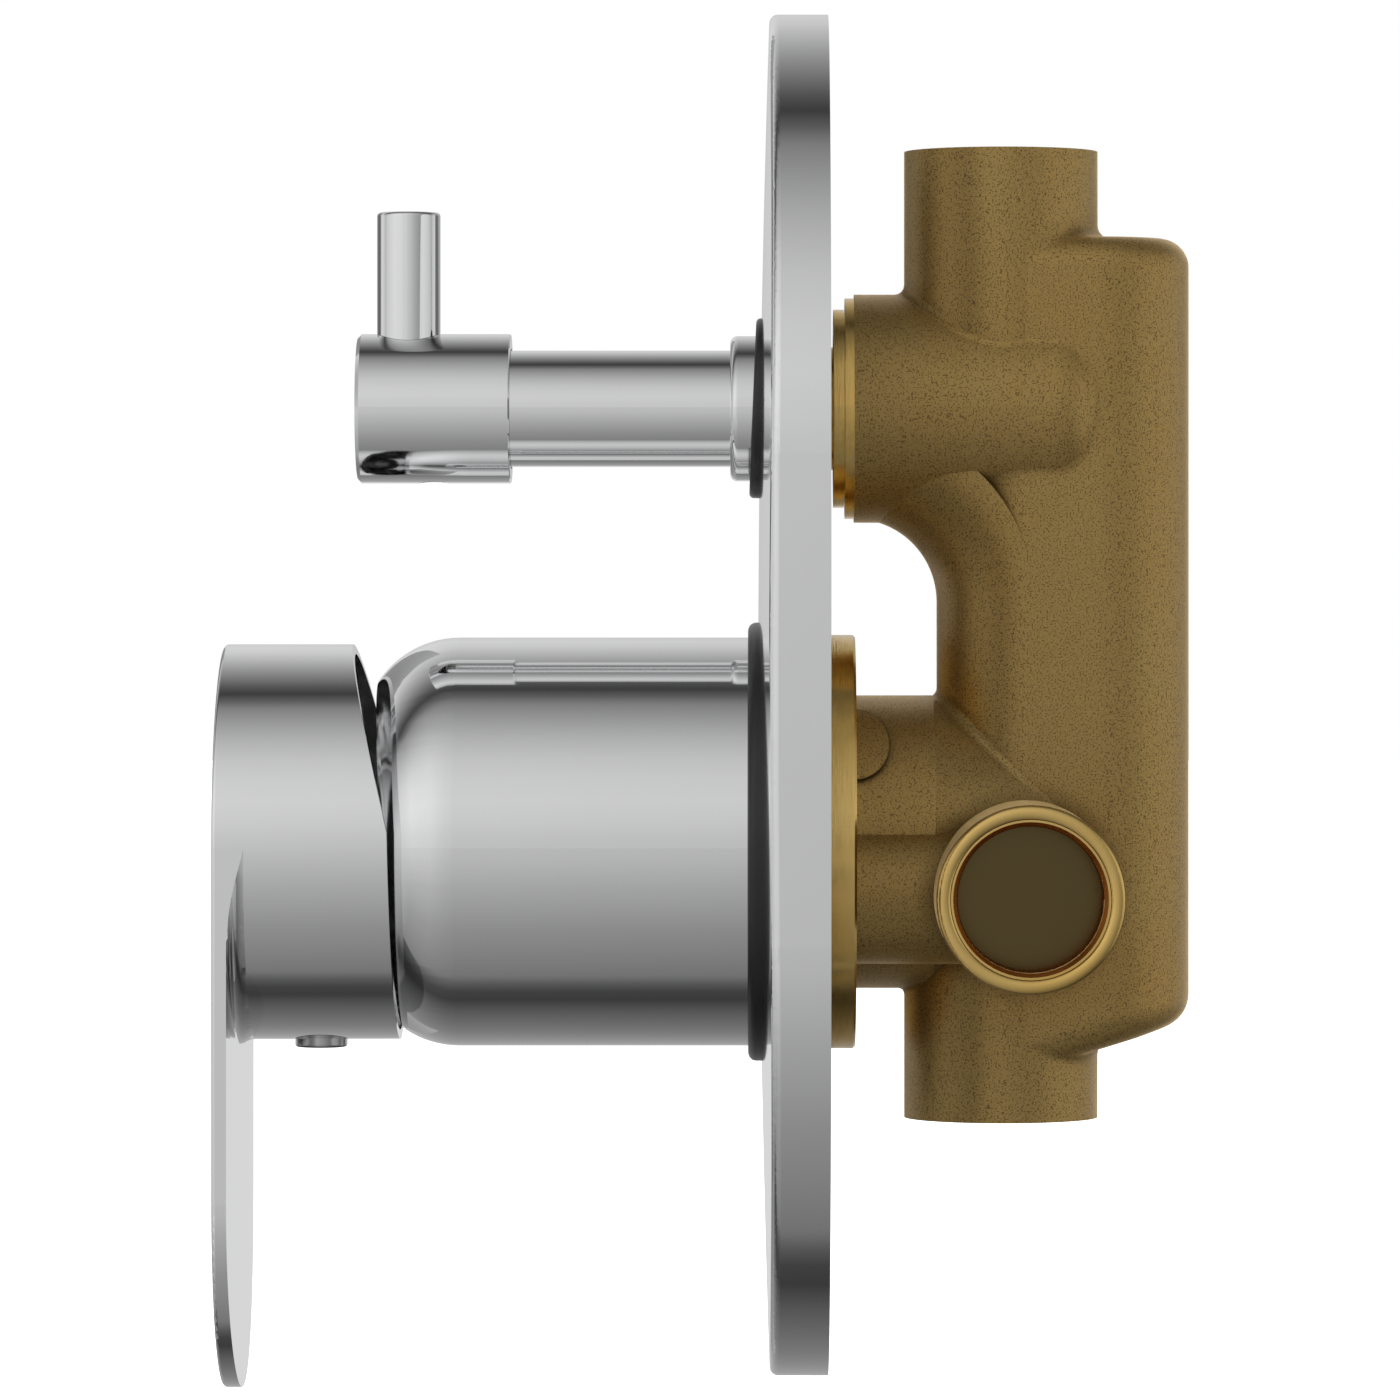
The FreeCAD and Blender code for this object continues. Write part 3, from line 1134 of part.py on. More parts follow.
NODES = {
    "body_casting": make_body_casting,
    "cartridge_housing": make_cartridge_housing,
    "housing_seal": make_housing_seal,
    "sleeve_seals": make_sleeve_seals,
    "port_seals": make_port_seals,
    "cartridge_base": make_cartridge_base,
    "cartridge_shell": make_cartridge_shell,
    "fixed_disc": make_fixed_disc,
    "moving_disc": make_moving_disc,
    "disc_carrier": make_disc_carrier,
    "lever_rotor": make_lever_rotor,
    "pivot_pin": make_pivot_pin,
    "lever_stem": make_lever_stem,
    "retaining_nut": make_retaining_nut,
    "dome_cover": make_dome_cover,
    "mixer_sleeve": make_mixer_sleeve,
    "large_gasket": make_large_gasket,
    "wall_plate": make_wall_plate,
    "handle": make_handle,
    "handle_screw": make_handle_screw,
    "index_plug": make_index_plug,
    "diverter_body": make_diverter_body,
    "collar_seal": make_collar_seal,
    "diverter_base_seal": make_diverter_base_seal,
    "diverter_fixed_disc": make_diverter_fixed_disc,
    "diverter_moving_disc": make_diverter_moving_disc,
    "diverter_spindle": make_diverter_spindle,
    "spindle_clip": make_spindle_clip,
    "spindle_adaptor": make_spindle_adaptor,
    "diverter_sleeve": make_diverter_sleeve,
    "small_gasket": make_small_gasket,
    "knob": make_knob,
    "knob_pin": make_knob_pin,
    "knob_screw": make_knob_screw,
}

os.makedirs("parts", exist_ok=True)
for node, make in NODES.items():
    shape = make()
    print(node, "valid" if shape.isValid() else "NOT VALID", len(shape.Solids), "solid(s)",
          round(shape.Volume), "mm3")
    shape.exportStep(os.path.join("parts", node + ".step"))
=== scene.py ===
# %% [markdown]
# # A shower diverter valve, dressed for the camera
#
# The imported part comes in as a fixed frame: every piece of the real valve is already there at its real size.
# This lesson gives each piece its finish, cuts the pipe threads that a caster leaves to the lathe, and builds
# the little photo studio that chrome needs, because chrome shows nothing but what stands around it.

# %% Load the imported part
import json
import math

import bmesh
import bpy
from mathutils import Matrix, Vector


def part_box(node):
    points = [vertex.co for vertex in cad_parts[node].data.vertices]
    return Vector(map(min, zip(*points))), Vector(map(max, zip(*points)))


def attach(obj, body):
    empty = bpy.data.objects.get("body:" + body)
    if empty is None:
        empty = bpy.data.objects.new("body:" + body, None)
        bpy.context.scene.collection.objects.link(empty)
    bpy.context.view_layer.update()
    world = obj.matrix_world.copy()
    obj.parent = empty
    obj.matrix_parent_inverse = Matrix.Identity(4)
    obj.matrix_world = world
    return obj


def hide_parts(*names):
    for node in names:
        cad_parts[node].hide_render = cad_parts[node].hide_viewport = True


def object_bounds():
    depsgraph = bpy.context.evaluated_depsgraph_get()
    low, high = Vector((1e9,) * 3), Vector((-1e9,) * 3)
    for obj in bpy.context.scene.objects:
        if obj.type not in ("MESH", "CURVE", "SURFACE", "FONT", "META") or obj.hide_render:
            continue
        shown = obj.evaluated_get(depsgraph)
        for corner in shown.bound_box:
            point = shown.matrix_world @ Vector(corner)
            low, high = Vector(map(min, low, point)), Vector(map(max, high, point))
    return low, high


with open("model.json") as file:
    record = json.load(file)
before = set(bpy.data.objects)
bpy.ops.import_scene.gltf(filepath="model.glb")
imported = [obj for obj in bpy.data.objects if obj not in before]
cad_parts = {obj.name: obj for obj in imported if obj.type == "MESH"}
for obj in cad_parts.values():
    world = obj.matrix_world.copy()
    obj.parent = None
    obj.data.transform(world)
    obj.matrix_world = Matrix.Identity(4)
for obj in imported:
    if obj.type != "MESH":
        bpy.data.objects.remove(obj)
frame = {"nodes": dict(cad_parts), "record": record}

CAD_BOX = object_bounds()
LOW, HIGH = (Vector(corner) for corner in CAD_BOX)
print(len(frame["nodes"]), "pieces between", tuple(LOW), "and", tuple(HIGH))

# %% [markdown]
# ## The camera
#
# The valve is seen square from its right side, from a metre away with a long lens, so the pipes look almost
# parallel. The vanishing point lies above and to the right of the middle of the picture. A real photographer
# would use a shift lens for that, and a camera in Blender has the same shift.

# %% Camera
CAMERA_PLACE = Vector((1.0, -0.0077, 0.0322))

camera_data = bpy.data.cameras.new("side_camera")
camera_data.sensor_width = 36.0
camera_data.lens = 192.86
camera_data.shift_x = -0.05
camera_data.shift_y = -0.0714
camera = bpy.data.objects.new("side_camera", camera_data)
camera.location = CAMERA_PLACE
camera.rotation_euler = (math.radians(90), 0, math.radians(90))
bpy.context.scene.collection.objects.link(camera)
bpy.context.scene.camera = camera
bpy.context.scene.view_settings.view_transform = "Standard"
print("camera", round(CAMERA_PLACE.x, 2), "m from the valve's middle")

# %% [markdown]
# ## Shader maths as Python
#
# A material is a net of nodes. Drawing the net by hand in code is long, so one small class wraps a socket and
# lets plus, minus and times stand for Math nodes. A second class collects the nodes of one material and has a
# single method that makes any other node: its type and settings first, then what goes into its sockets.

# %% Sockets that can be added and multiplied
class Value:
    """A number that changes over a surface, held by a socket of a shader node."""

    def __init__(self, net, socket):
        self.net = net
        self.socket = socket

    def _math(self, operation, first, second):
        return self.net.node("ShaderNodeMath", {"operation": operation}, {0: first, 1: second})

    def __add__(self, other):
        return self._math("ADD", self, other)

    def __radd__(self, other):
        return self._math("ADD", other, self)

    def __sub__(self, other):
        return self._math("SUBTRACT", self, other)

    def __rsub__(self, other):
        return self._math("SUBTRACT", other, self)

    def __mul__(self, other):
        return self._math("MULTIPLY", self, other)

    def __rmul__(self, other):
        return self._math("MULTIPLY", other, self)

    def __truediv__(self, other):
        return self._math("DIVIDE", self, other)

    def clipped(self):
        """The same number, kept between 0 and 1."""
        return self.net.node("ShaderNodeClamp", {}, {"Value": self})

    def absolute(self):
        """The same number without its sign."""
        return self.net.node("ShaderNodeMath", {"operation": "ABSOLUTE"}, {0: self})

    def above(self, edge, soft=0.00005):
        """1 where the number is more than the edge, 0 where it is less, with a short slope between."""
        return ((self - edge) / soft).clipped()


# %% A net of nodes
class Net:
    """The nodes of one material or of the world."""

    def __init__(self, tree, empty=True):
        self.tree = tree
        if empty:
            self.tree.nodes.clear()

    def node(self, kind, settings, inputs, output=0):
        """One node: its type, its settings, and a value or a link for each named socket."""
        made = self.tree.nodes.new(kind)
        for name, setting in settings.items():
            if name == "stops":
                self._stops(made, setting)
            else:
                setattr(made, name, setting)
        for name, value in inputs.items():
            if isinstance(value, Value):
                self.tree.links.new(value.socket, made.inputs[name])
            else:
                made.inputs[name].default_value = value
        return Value(self, made.outputs[output]) if made.outputs else None

    @staticmethod
    def _stops(ramp_node, stops):
        """Sets a colour ramp's stops from (place, grey or colour) pairs."""
        elements = ramp_node.color_ramp.elements
        while len(elements) < len(stops):
            elements.new(0.5)
        for element, (place, colour) in zip(elements, stops):
            element.position = place
            element.color = (colour, colour, colour, 1) if isinstance(colour, float) else (*colour, 1)

    def ramp(self, factor, stops):
        """A colour ramp with straight slopes between its stops."""
        return self.node("ShaderNodeValToRGB", {"stops": stops}, {"Fac": factor})

    def noise(self, place, scale, detail=2.0, rough=0.5):
        """Soft cloudy noise from 0 to 1. The scale is in waves per metre."""
        return self.node("ShaderNodeTexNoise", {"noise_dimensions": "3D"},
                         {"Vector": place, "Scale": scale, "Detail": detail, "Roughness": rough})

    def stretched(self, place, scale):
        """The place, stretched by a number for each direction."""
        return self.node("ShaderNodeMapping", {}, {"Vector": place, "Scale": scale})

    def parts(self, place):
        """The three numbers of a place."""
        return [self.node("ShaderNodeSeparateXYZ", {}, {"Vector": place}, output=index) for index in range(3)]

    def from_axis(self, place, centre, across):
        """Distance from an axis through a centre. Across has a 1 for each direction that counts."""
        moved = self.node("ShaderNodeMapping", {},
                          {"Vector": place, "Location": [-c * a for c, a in zip(centre, across)], "Scale": across})
        return self.node("ShaderNodeVectorMath", {"operation": "LENGTH"}, {0: moved}, output=1)

    def bump(self, height, distance, strength=1.0):
        """A normal pushed about by a height. The distance is in metres."""
        return self.node("ShaderNodeBump", {}, {"Height": height, "Distance": distance, "Strength": strength})

    def mixed(self, factor, first, second):
        """One colour turning into another."""
        return self.node("ShaderNodeMix", {"data_type": "RGBA"}, {0: factor, 6: first, 7: second}, output=2)


# %% Start and end of a material
def surface(name):
    """A new material with an empty net. Gives the material, its net and the Object coordinates."""
    material = bpy.data.materials.new(name)
    material.use_nodes = True
    net = Net(material.node_tree)
    place = net.node("ShaderNodeTexCoord", {}, {}, output=3)
    return material, net, place


def finished(net, **sockets):
    """Ends a net with a Principled shader. Underscores in the names stand for spaces."""
    inputs = {name.replace("_", " "): value for name, value in sockets.items()}
    shader = net.node("ShaderNodeBsdfPrincipled", {}, inputs)
    net.node("ShaderNodeOutputMaterial", {}, {"Surface": shader})


# %% [markdown]
# ## Chrome
#
# The plate, the sleeves, the lever and the knob are brass under a bright layer of chromium. Chromium is a
# little darker and a little bluer than silver, and it is polished before it is plated, so it is almost a
# mirror. What keeps it from looking like a drawn mirror is very small: a slow waviness from the polishing
# wheel, and a film of fine marks that softens the reflections here and there.

# %% Chrome
def chrome_finish(name, grey, roughness, wave):
    """Plated chrome. The wave is the height of the polishing waviness in metres."""
    material, net, place = surface(name)
    film = net.noise(place, 60.0, 3.0)
    marks = net.noise(net.stretched(place, (1.0, 9.0, 1.0)), 700.0, 2.0, 0.6)
    tone = net.mixed((film * 0.6 + marks * 0.4).clipped(), (grey * 0.97,) * 3 + (1,),
                     (grey * 1.01, grey * 1.015, grey * 1.025, 1))
    waviness = net.noise(place, 45.0, 1.0)
    finished(net, Base_Color=tone, Metallic=1.0, Roughness=roughness + film * 0.02 + marks * 0.012,
             Normal=net.bump(waviness, wave))
    return material


CHROME = chrome_finish("chrome_plate", 0.92, 0.035, 0.00002)


# The cup of the handle: its inner radius, the place of its floor, and what its unpolished inside changes.
CUP_R, CUP_FLOOR = 0.0253, -0.0772
CUP_ROUGHER, CUP_DULLER = 0.05, 0.12


def handle_finish(name, chrome):
    """The same chrome, but the inside of the handle's cup is only plated and never polished."""
    material = chrome.copy()
    material.name = name
    net = Net(material.node_tree, empty=False)
    shader = next(node for node in net.tree.nodes if node.type == "BSDF_PRINCIPLED")
    place = net.node("ShaderNodeTexCoord", {}, {}, output=3)
    x, y, z = net.parts(place)
    inside = (1 - net.from_axis(place, (0, 0, 0), (1, 0, 1)).above(CUP_R)) * y.above(CUP_FLOOR)
    rough = Value(net, shader.inputs["Roughness"].links[0].from_socket)
    net.tree.links.new((rough + inside * CUP_ROUGHER).socket, shader.inputs["Roughness"])
    net.tree.links.new((1 - inside * CUP_DULLER).socket, shader.inputs["Metallic"])
    return material


HANDLE_CHROME = handle_finish("handle_chrome", CHROME)
print("chrome reflects about nine tenths of what stands around it")

# %% [markdown]
# ## Sand-cast brass
#
# The body behind the plate is poured into a sand mould and only blasted clean. The sand leaves a dull, dry
# skin: tiny pits, fine dark specks of scale, and broad patches that came out a little redder or greener.
# Three noises do this: patches of a few centimetres, and grains and specks of about a fifth of a millimetre.
#
# The bores and the ends of the ports are cut on a lathe afterwards and are smooth. They could be cut off as
# pieces of their own, but a mask is simpler: a place is on the lathe's cut when it lies near enough to the axis
# of a bore and not too deep below its mouth. The record gives those axes.

# %% Where the casting meets the lathe
MOUNTS = {mount["name"]: mount for mount in frame["record"]["mounts"]}
INLET = Vector(MOUNTS["right_inlet"]["pos_m"])
OUTLET = Vector(MOUNTS["top_outlet"]["pos_m"])
BORE_R = MOUNTS["top_outlet"]["dims"]["r_mm"] / 1000
CASTING_LOW, CASTING_HIGH = (Vector(corner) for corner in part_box("body_casting"))
PORT_FACE = CASTING_HIGH.x
PORT_DEPTH, OUTLET_DEPTH = 0.010, 0.015
print("port faces at", round(PORT_FACE, 4), "m, bores of", round(BORE_R, 4), "m radius")

# %% Faces that the lathe cut
# Radius of a port's mouth, which gets painted shade, of its rim, and of an outlet's end.
MOUTH_R, PORT_FACE_R, END_FACE_R = 0.0107, 0.0118, 0.0127
# How far a mask goes past the wall and the floor of a bore, how near to the floor it starts, and how deep a face is.
PAST_WALL, PAST_FLOOR, NEAR_FLOOR, FACE_DEEP = 0.0003, 0.0005, 0.0004, 0.0015


def within(distance, radius, depth, deepest):
    """1 inside a round plug: nearer to its axis than the radius, and less deep than its end."""
    return (1 - distance.above(radius)) * (1 - depth.above(deepest))


def lathe_cuts(net, place):
    """Masks for everything that is cut, and for the painted shade in the mouths of the ports and on the floors of the
    bores.
    """
    x, y, z = net.parts(place)
    from_port, depth = net.from_axis(place, INLET, (0, 1, 1)), PORT_FACE - x.absolute()
    from_outlet = net.from_axis(place, OUTLET, (1, 1, 0))
    end_depth = net.node("ShaderNodeMath", {"operation": "MINIMUM"}, {0: CASTING_HIGH.z - z, 1: z - CASTING_LOW.z})
    port_hole = within(from_port, BORE_R + PAST_WALL, depth, PORT_DEPTH + PAST_FLOOR)
    outlet_hole = within(from_outlet, BORE_R + PAST_WALL, end_depth, OUTLET_DEPTH + PAST_FLOOR)
    port_face = within(from_port, PORT_FACE_R, depth, FACE_DEEP)
    end_face = within(from_outlet, END_FACE_R, end_depth, FACE_DEEP)
    mouth_shade = within(from_port, MOUTH_R, depth, PORT_DEPTH + PAST_FLOOR)
    port_floor = port_hole * depth.above(PORT_DEPTH - NEAR_FLOOR)
    outlet_floor = outlet_hole * end_depth.above(OUTLET_DEPTH - NEAR_FLOOR)
    return (port_hole + outlet_hole + port_face + end_face).clipped(), mouth_shade, (port_floor + outlet_floor).clipped()


# %% Painted shade on the skin
# Corners get painted shade over this reach. A port's rim gets painted shadow between two radii, down to a depth, where
# it fades.
CREASE_REACH, CREASE_SHADE = 0.003, 1.5
RIM_FROM, RIM_TO, RIM_DEEP, RIM_FADE, RIM_SHADE = 0.0119, 0.0126, 0.0035, 0.002, 0.6
# A fine line of painted shade runs round the edge of the raised pad, on the sides of the neck only.
PAD_CENTRE, PAD_LINE_R, PAD_LINE_HALF, PAD_LINE_SHADE = Vector((0, 0.0034, 0.0133)), 0.0046, 0.00018, 0.7
PAD_SIDE_FROM, PAD_SIDE_TO = 0.010, 0.021


def painted_shade(net, place, cut):
    """Painted shade on the skin: in its corners, round the rims of the ports and round the pad."""
    side = net.parts(place)[0].absolute()
    from_port = net.from_axis(place, INLET, (0, 1, 1))
    from_pad = net.from_axis(place, PAD_CENTRE, (0, 1, 1))
    open_air = net.node("ShaderNodeAmbientOcclusion", {"samples": 6, "only_local": True}, {"Distance": CREASE_REACH},
                        output=1)
    creases = (1 - open_air) * CREASE_SHADE * (1 - cut)
    rim = from_port.above(RIM_FROM) * (1 - from_port.above(RIM_TO)) * (1 - (PORT_FACE - side).above(RIM_DEEP, RIM_FADE))
    pad_line = (1 - (from_pad - PAD_LINE_R).absolute() / PAD_LINE_HALF).clipped()
    pad_side = side.above(PAD_SIDE_FROM) * (1 - side.above(PAD_SIDE_TO))
    return (creases + rim * RIM_SHADE + pad_line * pad_side * PAD_LINE_SHADE).clipped()


# %% Colours of the casting
SKIN_RED, SKIN_GREEN = (0.47, 0.29, 0.086, 1), (0.46, 0.322, 0.116, 1)
# The last colour on the next line is painted shade, for corners, port rims and the pad's edge.
SKIN_PIT, SPECK, SHADE_TONE = (0.37, 0.242, 0.078, 1), (0.10, 0.06, 0.02, 1), (0.13, 0.078, 0.022, 1)
# The mouth and floor colours on the next line are painted shade, warmed by light bounced inside the bores.
CUT_METAL, MOUTH_SHADE, FLOOR_SHADE = (0.66, 0.42, 0.145, 1), (0.42, 0.16, 0.030, 1), (0.145, 0.105, 0.042, 1)
PATCH_SCALE, GRAIN_SCALE, SPECK_SCALE, SPECK_SHARE = 38.0, 5600.0, 4600.0, 0.7


# %% Cast brass
def cast_finish(name):
    """Sand-cast skin, with the drilled bores smooth and the cut ends bright, and painted shade in its corners, round
    the port rims, round the pad and inside the bores.
    """
    material, net, place = surface(name)
    cut, mouth_shade, floor_shade = lathe_cuts(net, place)
    patches = net.noise(place, PATCH_SCALE, 4.0, 0.6)
    grain = net.noise(place, GRAIN_SCALE, 2.0, 0.65)
    specks = net.noise(place, SPECK_SCALE, 0.0, 0.4)
    ground = net.mixed(net.ramp(patches, [(0.32, 0.0), (0.68, 1.0)]), SKIN_RED, SKIN_GREEN)
    grained = net.mixed(net.ramp(grain, [(0.3, 0.0), (0.7, 1.0)]), SKIN_PIT, ground)
    specked = net.mixed(net.ramp(specks, [(0.57, 0.0), (0.67, 1.0)]) * SPECK_SHARE, grained, SPECK)
    # Painted shade: corners, port rims and the pad's edge are darkened.
    skin = net.mixed(painted_shade(net, place, cut), specked, SHADE_TONE)
    tone = net.mixed(cut, skin, CUT_METAL)
    # Painted shade, warmed by bounced light, in the mouths of the side ports and on the floors of the bores.
    tone = net.mixed(mouth_shade, tone, MOUTH_SHADE)
    tone = net.mixed(floor_shade, tone, FLOOR_SHADE)
    bare = 1 - cut
    finished(net, Base_Color=tone, Metallic=0.8 + cut * 0.18, Roughness=(0.31 + grain * 0.12) * bare + cut * 0.24,
             Normal=net.bump((grain * 0.7 + specks * 0.3) * bare, 0.00005, 0.9),
             Sheen_Weight=1.0, Sheen_Roughness=0.27, Sheen_Tint=(1.0, 0.72, 0.33, 1))
    return material


CAST_BRASS = cast_finish("sand_cast_brass")
print("sand-cast brass is", len(CAST_BRASS.node_tree.nodes), "nodes")

# %% [markdown]
# ## Turned brass
#
# The rings and the faces of the ports were turned on a lathe after casting. They are brighter and yellower
# than the cast skin, and the tool leaves rings so fine that they only blur the reflection along its path. Deep in a
# bore the light has bounced from brass to brass, so the threads of the side ports are given a redder brass.

# %% Turned brass
def turned_finish(name, roughness, dark, light):
    """Brass off the lathe, in two close colours."""
    material, net, place = surface(name)
    tarnish = net.noise(place, 55.0, 3.0)
    lines = net.noise(net.stretched(place, (0.2, 12.0, 0.2)), 900.0, 1.0)
    tone = net.mixed(net.ramp(tarnish, [(0.35, 0.0), (0.7, 1.0)]), (*dark, 1), (*light, 1))
    finished(net, Base_Color=tone, Metallic=1.0, Roughness=roughness + tarnish * 0.06 + lines * 0.05,
             Normal=net.bump(lines, 0.000012))
    return material


TURNED_BRASS = turned_finish("turned_brass", 0.13, dark=(0.77, 0.51, 0.155), light=(0.85, 0.60, 0.215))
# The side ports' thread brass is darker and redder than turned brass: painted shade and bounced light deep in the
# bores.
THREAD_BRASS = turned_finish("thread_brass", 0.22, dark=(0.44, 0.17, 0.035), light=(0.52, 0.22, 0.05))
print("turned brass is", len(TURNED_BRASS.node_tree.nodes), "nodes")

# %% [markdown]
# ## Rubber, plastic, ceramic and steel
#
# The rings under the two sleeves are black rubber with a satin sheen. Inside the valve, where only a taken
# apart view would look, the cartridge is grey moulded plastic, its discs are polished ceramic and its pins
# and screws are steel. They are all one recipe: a colour with a little cloud in it, and a fine skin.

# %% The small finishes
def plain_finish(name, light, dark, roughness, skin, cloud=90.0, grain=1200.0, metallic=0.0):
    """A finish of two close colours, a roughness and a skin height in metres."""
    material, net, place = surface(name)
    clouds = net.noise(place, cloud, 3.0)
    fine = net.noise(place, grain, 2.0, 0.6)
    tone = net.mixed(net.ramp(clouds, [(0.3, 0.0), (0.7, 1.0)]), (*dark, 1), (*light, 1))
    finished(net, Base_Color=tone, Metallic=metallic, Roughness=roughness + fine * 0.08,
             Normal=net.bump(fine, skin))
    return material


GASKET_RUBBER = plain_finish("gasket_rubber", (0.015, 0.015, 0.016), (0.010, 0.010, 0.011), 0.30, 0.00001)
SEAL_RUBBER = plain_finish("seal_rubber", (0.030, 0.030, 0.030), (0.018, 0.018, 0.019), 0.42, 0.00001)
CARTRIDGE_PLASTIC = plain_finish("cartridge_plastic", (0.55, 0.56, 0.57), (0.47, 0.48, 0.50), 0.40, 0.000008)
CERAMIC = plain_finish("ceramic_disc", (0.86, 0.84, 0.79), (0.80, 0.78, 0.73), 0.16, 0.000002)
STEEL = plain_finish("bright_steel", (0.62, 0.61, 0.59), (0.52, 0.51, 0.50), 0.22, 0.000004, metallic=1.0)
INDEX_PLUG = plain_finish("index_plug", (0.60, 0.60, 0.61), (0.50, 0.50, 0.51), 0.15, 0.000002, metallic=1.0)

# %% [markdown]
# ## Each piece gets its finish
#
# Every piece of the frame already names its finish in the record. The name is looked up once, and the new
# material goes into the piece's own slot, so the piece itself stays exactly as it was built. The handle alone has
# a chrome of its own, for the inside of its cup.

# %% Dress the pieces
FINISHES = {"chrome": CHROME, "index_plug": INDEX_PLUG, "cast_brass": CAST_BRASS, "turned_brass": TURNED_BRASS,
            "gasket_rubber": GASKET_RUBBER, "seal_rubber": SEAL_RUBBER, "cartridge_plastic": CARTRIDGE_PLASTIC,
            "ceramic": CERAMIC, "steel": STEEL}

for name, piece in frame["nodes"].items():
    for slot in piece.material_slots:
        slot.material = FINISHES[slot.material.name.split(".")[0]]
for slot in frame["nodes"]["handle"].material_slots:
    slot.material = HANDLE_CHROME
print("dressed", len(frame["nodes"]), "pieces in", len(FINISHES), "finishes")

# %% [markdown]
# ## The ports
#
# Each port ends in a turned bead, and its bore holds a pipe thread. A thread is a small triangle that is carried
# round an axis and along it at the same time. Blender's spin tool does both at once, and with no step along
# the axis it makes a plain ring, so one tool makes the beads and the threads.

# %% From a bmesh to an object
def as_object(work, name, material):
    """Makes a finished bmesh an object at the origin, with one material."""
    mesh = bpy.data.meshes.new(name)
    work.to_mesh(mesh)
    work.free()
    mesh.materials.append(material)
    made = bpy.data.objects.new(name, mesh)
    bpy.context.scene.collection.objects.link(made)
    return made


# %% A profile carried round an axis
STEPS_A_TURN = 64


def lathe(profile, start, way, turns=1, pitch=0.0):
    """Spins a closed profile of (radius, height) points about an axis that starts at a place and looks one way."""
    work = bmesh.new()
    corners = [work.verts.new((radius, 0, height)) for radius, height in profile]
    full = turns == 1 and pitch == 0
    if full:
        drawn = corners + [work.edges.new(pair) for pair in zip(corners, corners[1:] + corners[:1])]
    else:
        face = work.faces.new(corners)
        drawn = [face] + list(face.edges) + corners
    bmesh.ops.spin(work, geom=drawn, cent=(0, 0, 0), axis=(0, 0, 1), dvec=(0, 0, -pitch / STEPS_A_TURN),
                   steps=STEPS_A_TURN * turns, angle=math.tau * turns, use_merge=full)
    bmesh.ops.recalc_face_normals(work, faces=work.faces)
    turned = Vector(way).to_track_quat("Z", "Y").to_matrix().to_4x4()
    bmesh.ops.transform(work, matrix=Matrix.Translation(start) @ turned, verts=work.verts)
    return work


# %% A piece that rides on the valve
SHARP = math.radians(40)


def kept_piece(name, work, material):
    """Makes the spun mesh an object that rides on the valve. Edges over a sharp angle stay crisp."""
    for face in work.faces:
        face.smooth = True
    for edge in work.edges:
        edge.smooth = edge.calc_face_angle(0) < SHARP
    print(name, len(work.faces), "faces, closed:", all(edge.is_manifold for edge in work.edges))
    piece = as_object(work, name, material)
    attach(piece, "valve")
    return piece


# %% Beads on the two side ports
BEAD_INNER, BEAD_OUTER = 0.0103, 0.0121
BEAD_PROUD, BEAD_SUNK = 0.00045, 0.0006
LIP_R, LIP_SUNK, LIP_DEEP = 0.0100, 0.0005, 0.0011
bead_middle, bead_half = (BEAD_INNER + BEAD_OUTER) / 2, (BEAD_OUTER - BEAD_INNER) / 2
bead = [(LIP_R, -LIP_DEEP), (BEAD_OUTER, -BEAD_SUNK)]
bead += [(bead_middle + bead_half * math.cos(math.radians(step)), BEAD_PROUD * math.sin(math.radians(step)))
         for step in range(0, 181, 15)]
bead += [(BEAD_INNER, -LIP_SUNK), (LIP_R, -LIP_SUNK)]

for side, sign in (("right", 1), ("left", -1)):
    mouth = Vector((sign * PORT_FACE, INLET.y, INLET.z))
    kept_piece("port_bead_" + side, lathe(bead, mouth, (sign, 0, 0)), TURNED_BRASS)

# %% [markdown]
# ## Two gaskets that lie on the plate
#
# The plate is slightly domed, and soft rubber follows it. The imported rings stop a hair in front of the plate,
# as solids must. To the eye they touch it, so two spun rings with rounded fronts stand for them. They reach
# just into the plate, and the small one tips back with the slope that the dome has at its height.

# %% Gaskets
INNER_CHAMFER = 0.0003


def gasket(name, node, inner, outer, front, back, round_r, centre, tip):
    """A rubber ring about the way to the front, with a quarter round on its outer front edge."""
    turns = [math.radians(step) for step in range(0, 91, 15)]
    arc = [(outer - round_r * (1 - math.cos(turn)), -front - round_r * (1 - math.sin(turn))) for turn in turns]
    ring = [(inner, -back), (outer, -back)] + arc
    ring += [(inner + INNER_CHAMFER, -front), (inner, -front - INNER_CHAMFER)]
    way = Vector((0, -1, 0))
    way.rotate(Matrix.Rotation(tip, 3, "X"))
    piece = kept_piece(name, lathe(ring, Vector(centre), way), GASKET_RUBBER)
    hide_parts(node)


gasket("sleeve_gasket", "large_gasket", inner=0.0270, outer=0.0292, front=-0.01062, back=-0.0083, round_r=0.0011,
       centre=(0, 0, 0), tip=0.0)
gasket("collar_gasket", "small_gasket", inner=0.0095, outer=0.0120, front=-0.01000, back=-0.0084, round_r=0.0006,
       centre=(0, 0, 0.0574), tip=math.radians(-2.3))

# %% [markdown]
# ## Threads in the four bores
#
# A thread starts a little inside the mouth, so that the pipe finds its way in. The side ports are seen almost along
# their axis, where only a few low turns show. The outlets above and below get a fuller thread.

# %% Threads
THREAD_PITCH = 0.001814
THREAD_HIGH, THREAD_ROOT = 0.0003, 0.0001
THREAD_FOOT, THREAD_CREST = 0.0005, 0.00008
LEAD_IN = 0.0018
SIDE_TURNS, END_TURNS = 4, 6
tooth = [(BORE_R + THREAD_ROOT, THREAD_FOOT), (BORE_R - THREAD_HIGH, THREAD_CREST),
         (BORE_R - THREAD_HIGH, -THREAD_CREST), (BORE_R + THREAD_ROOT, -THREAD_FOOT)]
fine_tooth = [(BORE_R + (radius - BORE_R) * 0.4, height * 0.6) for radius, height in tooth]

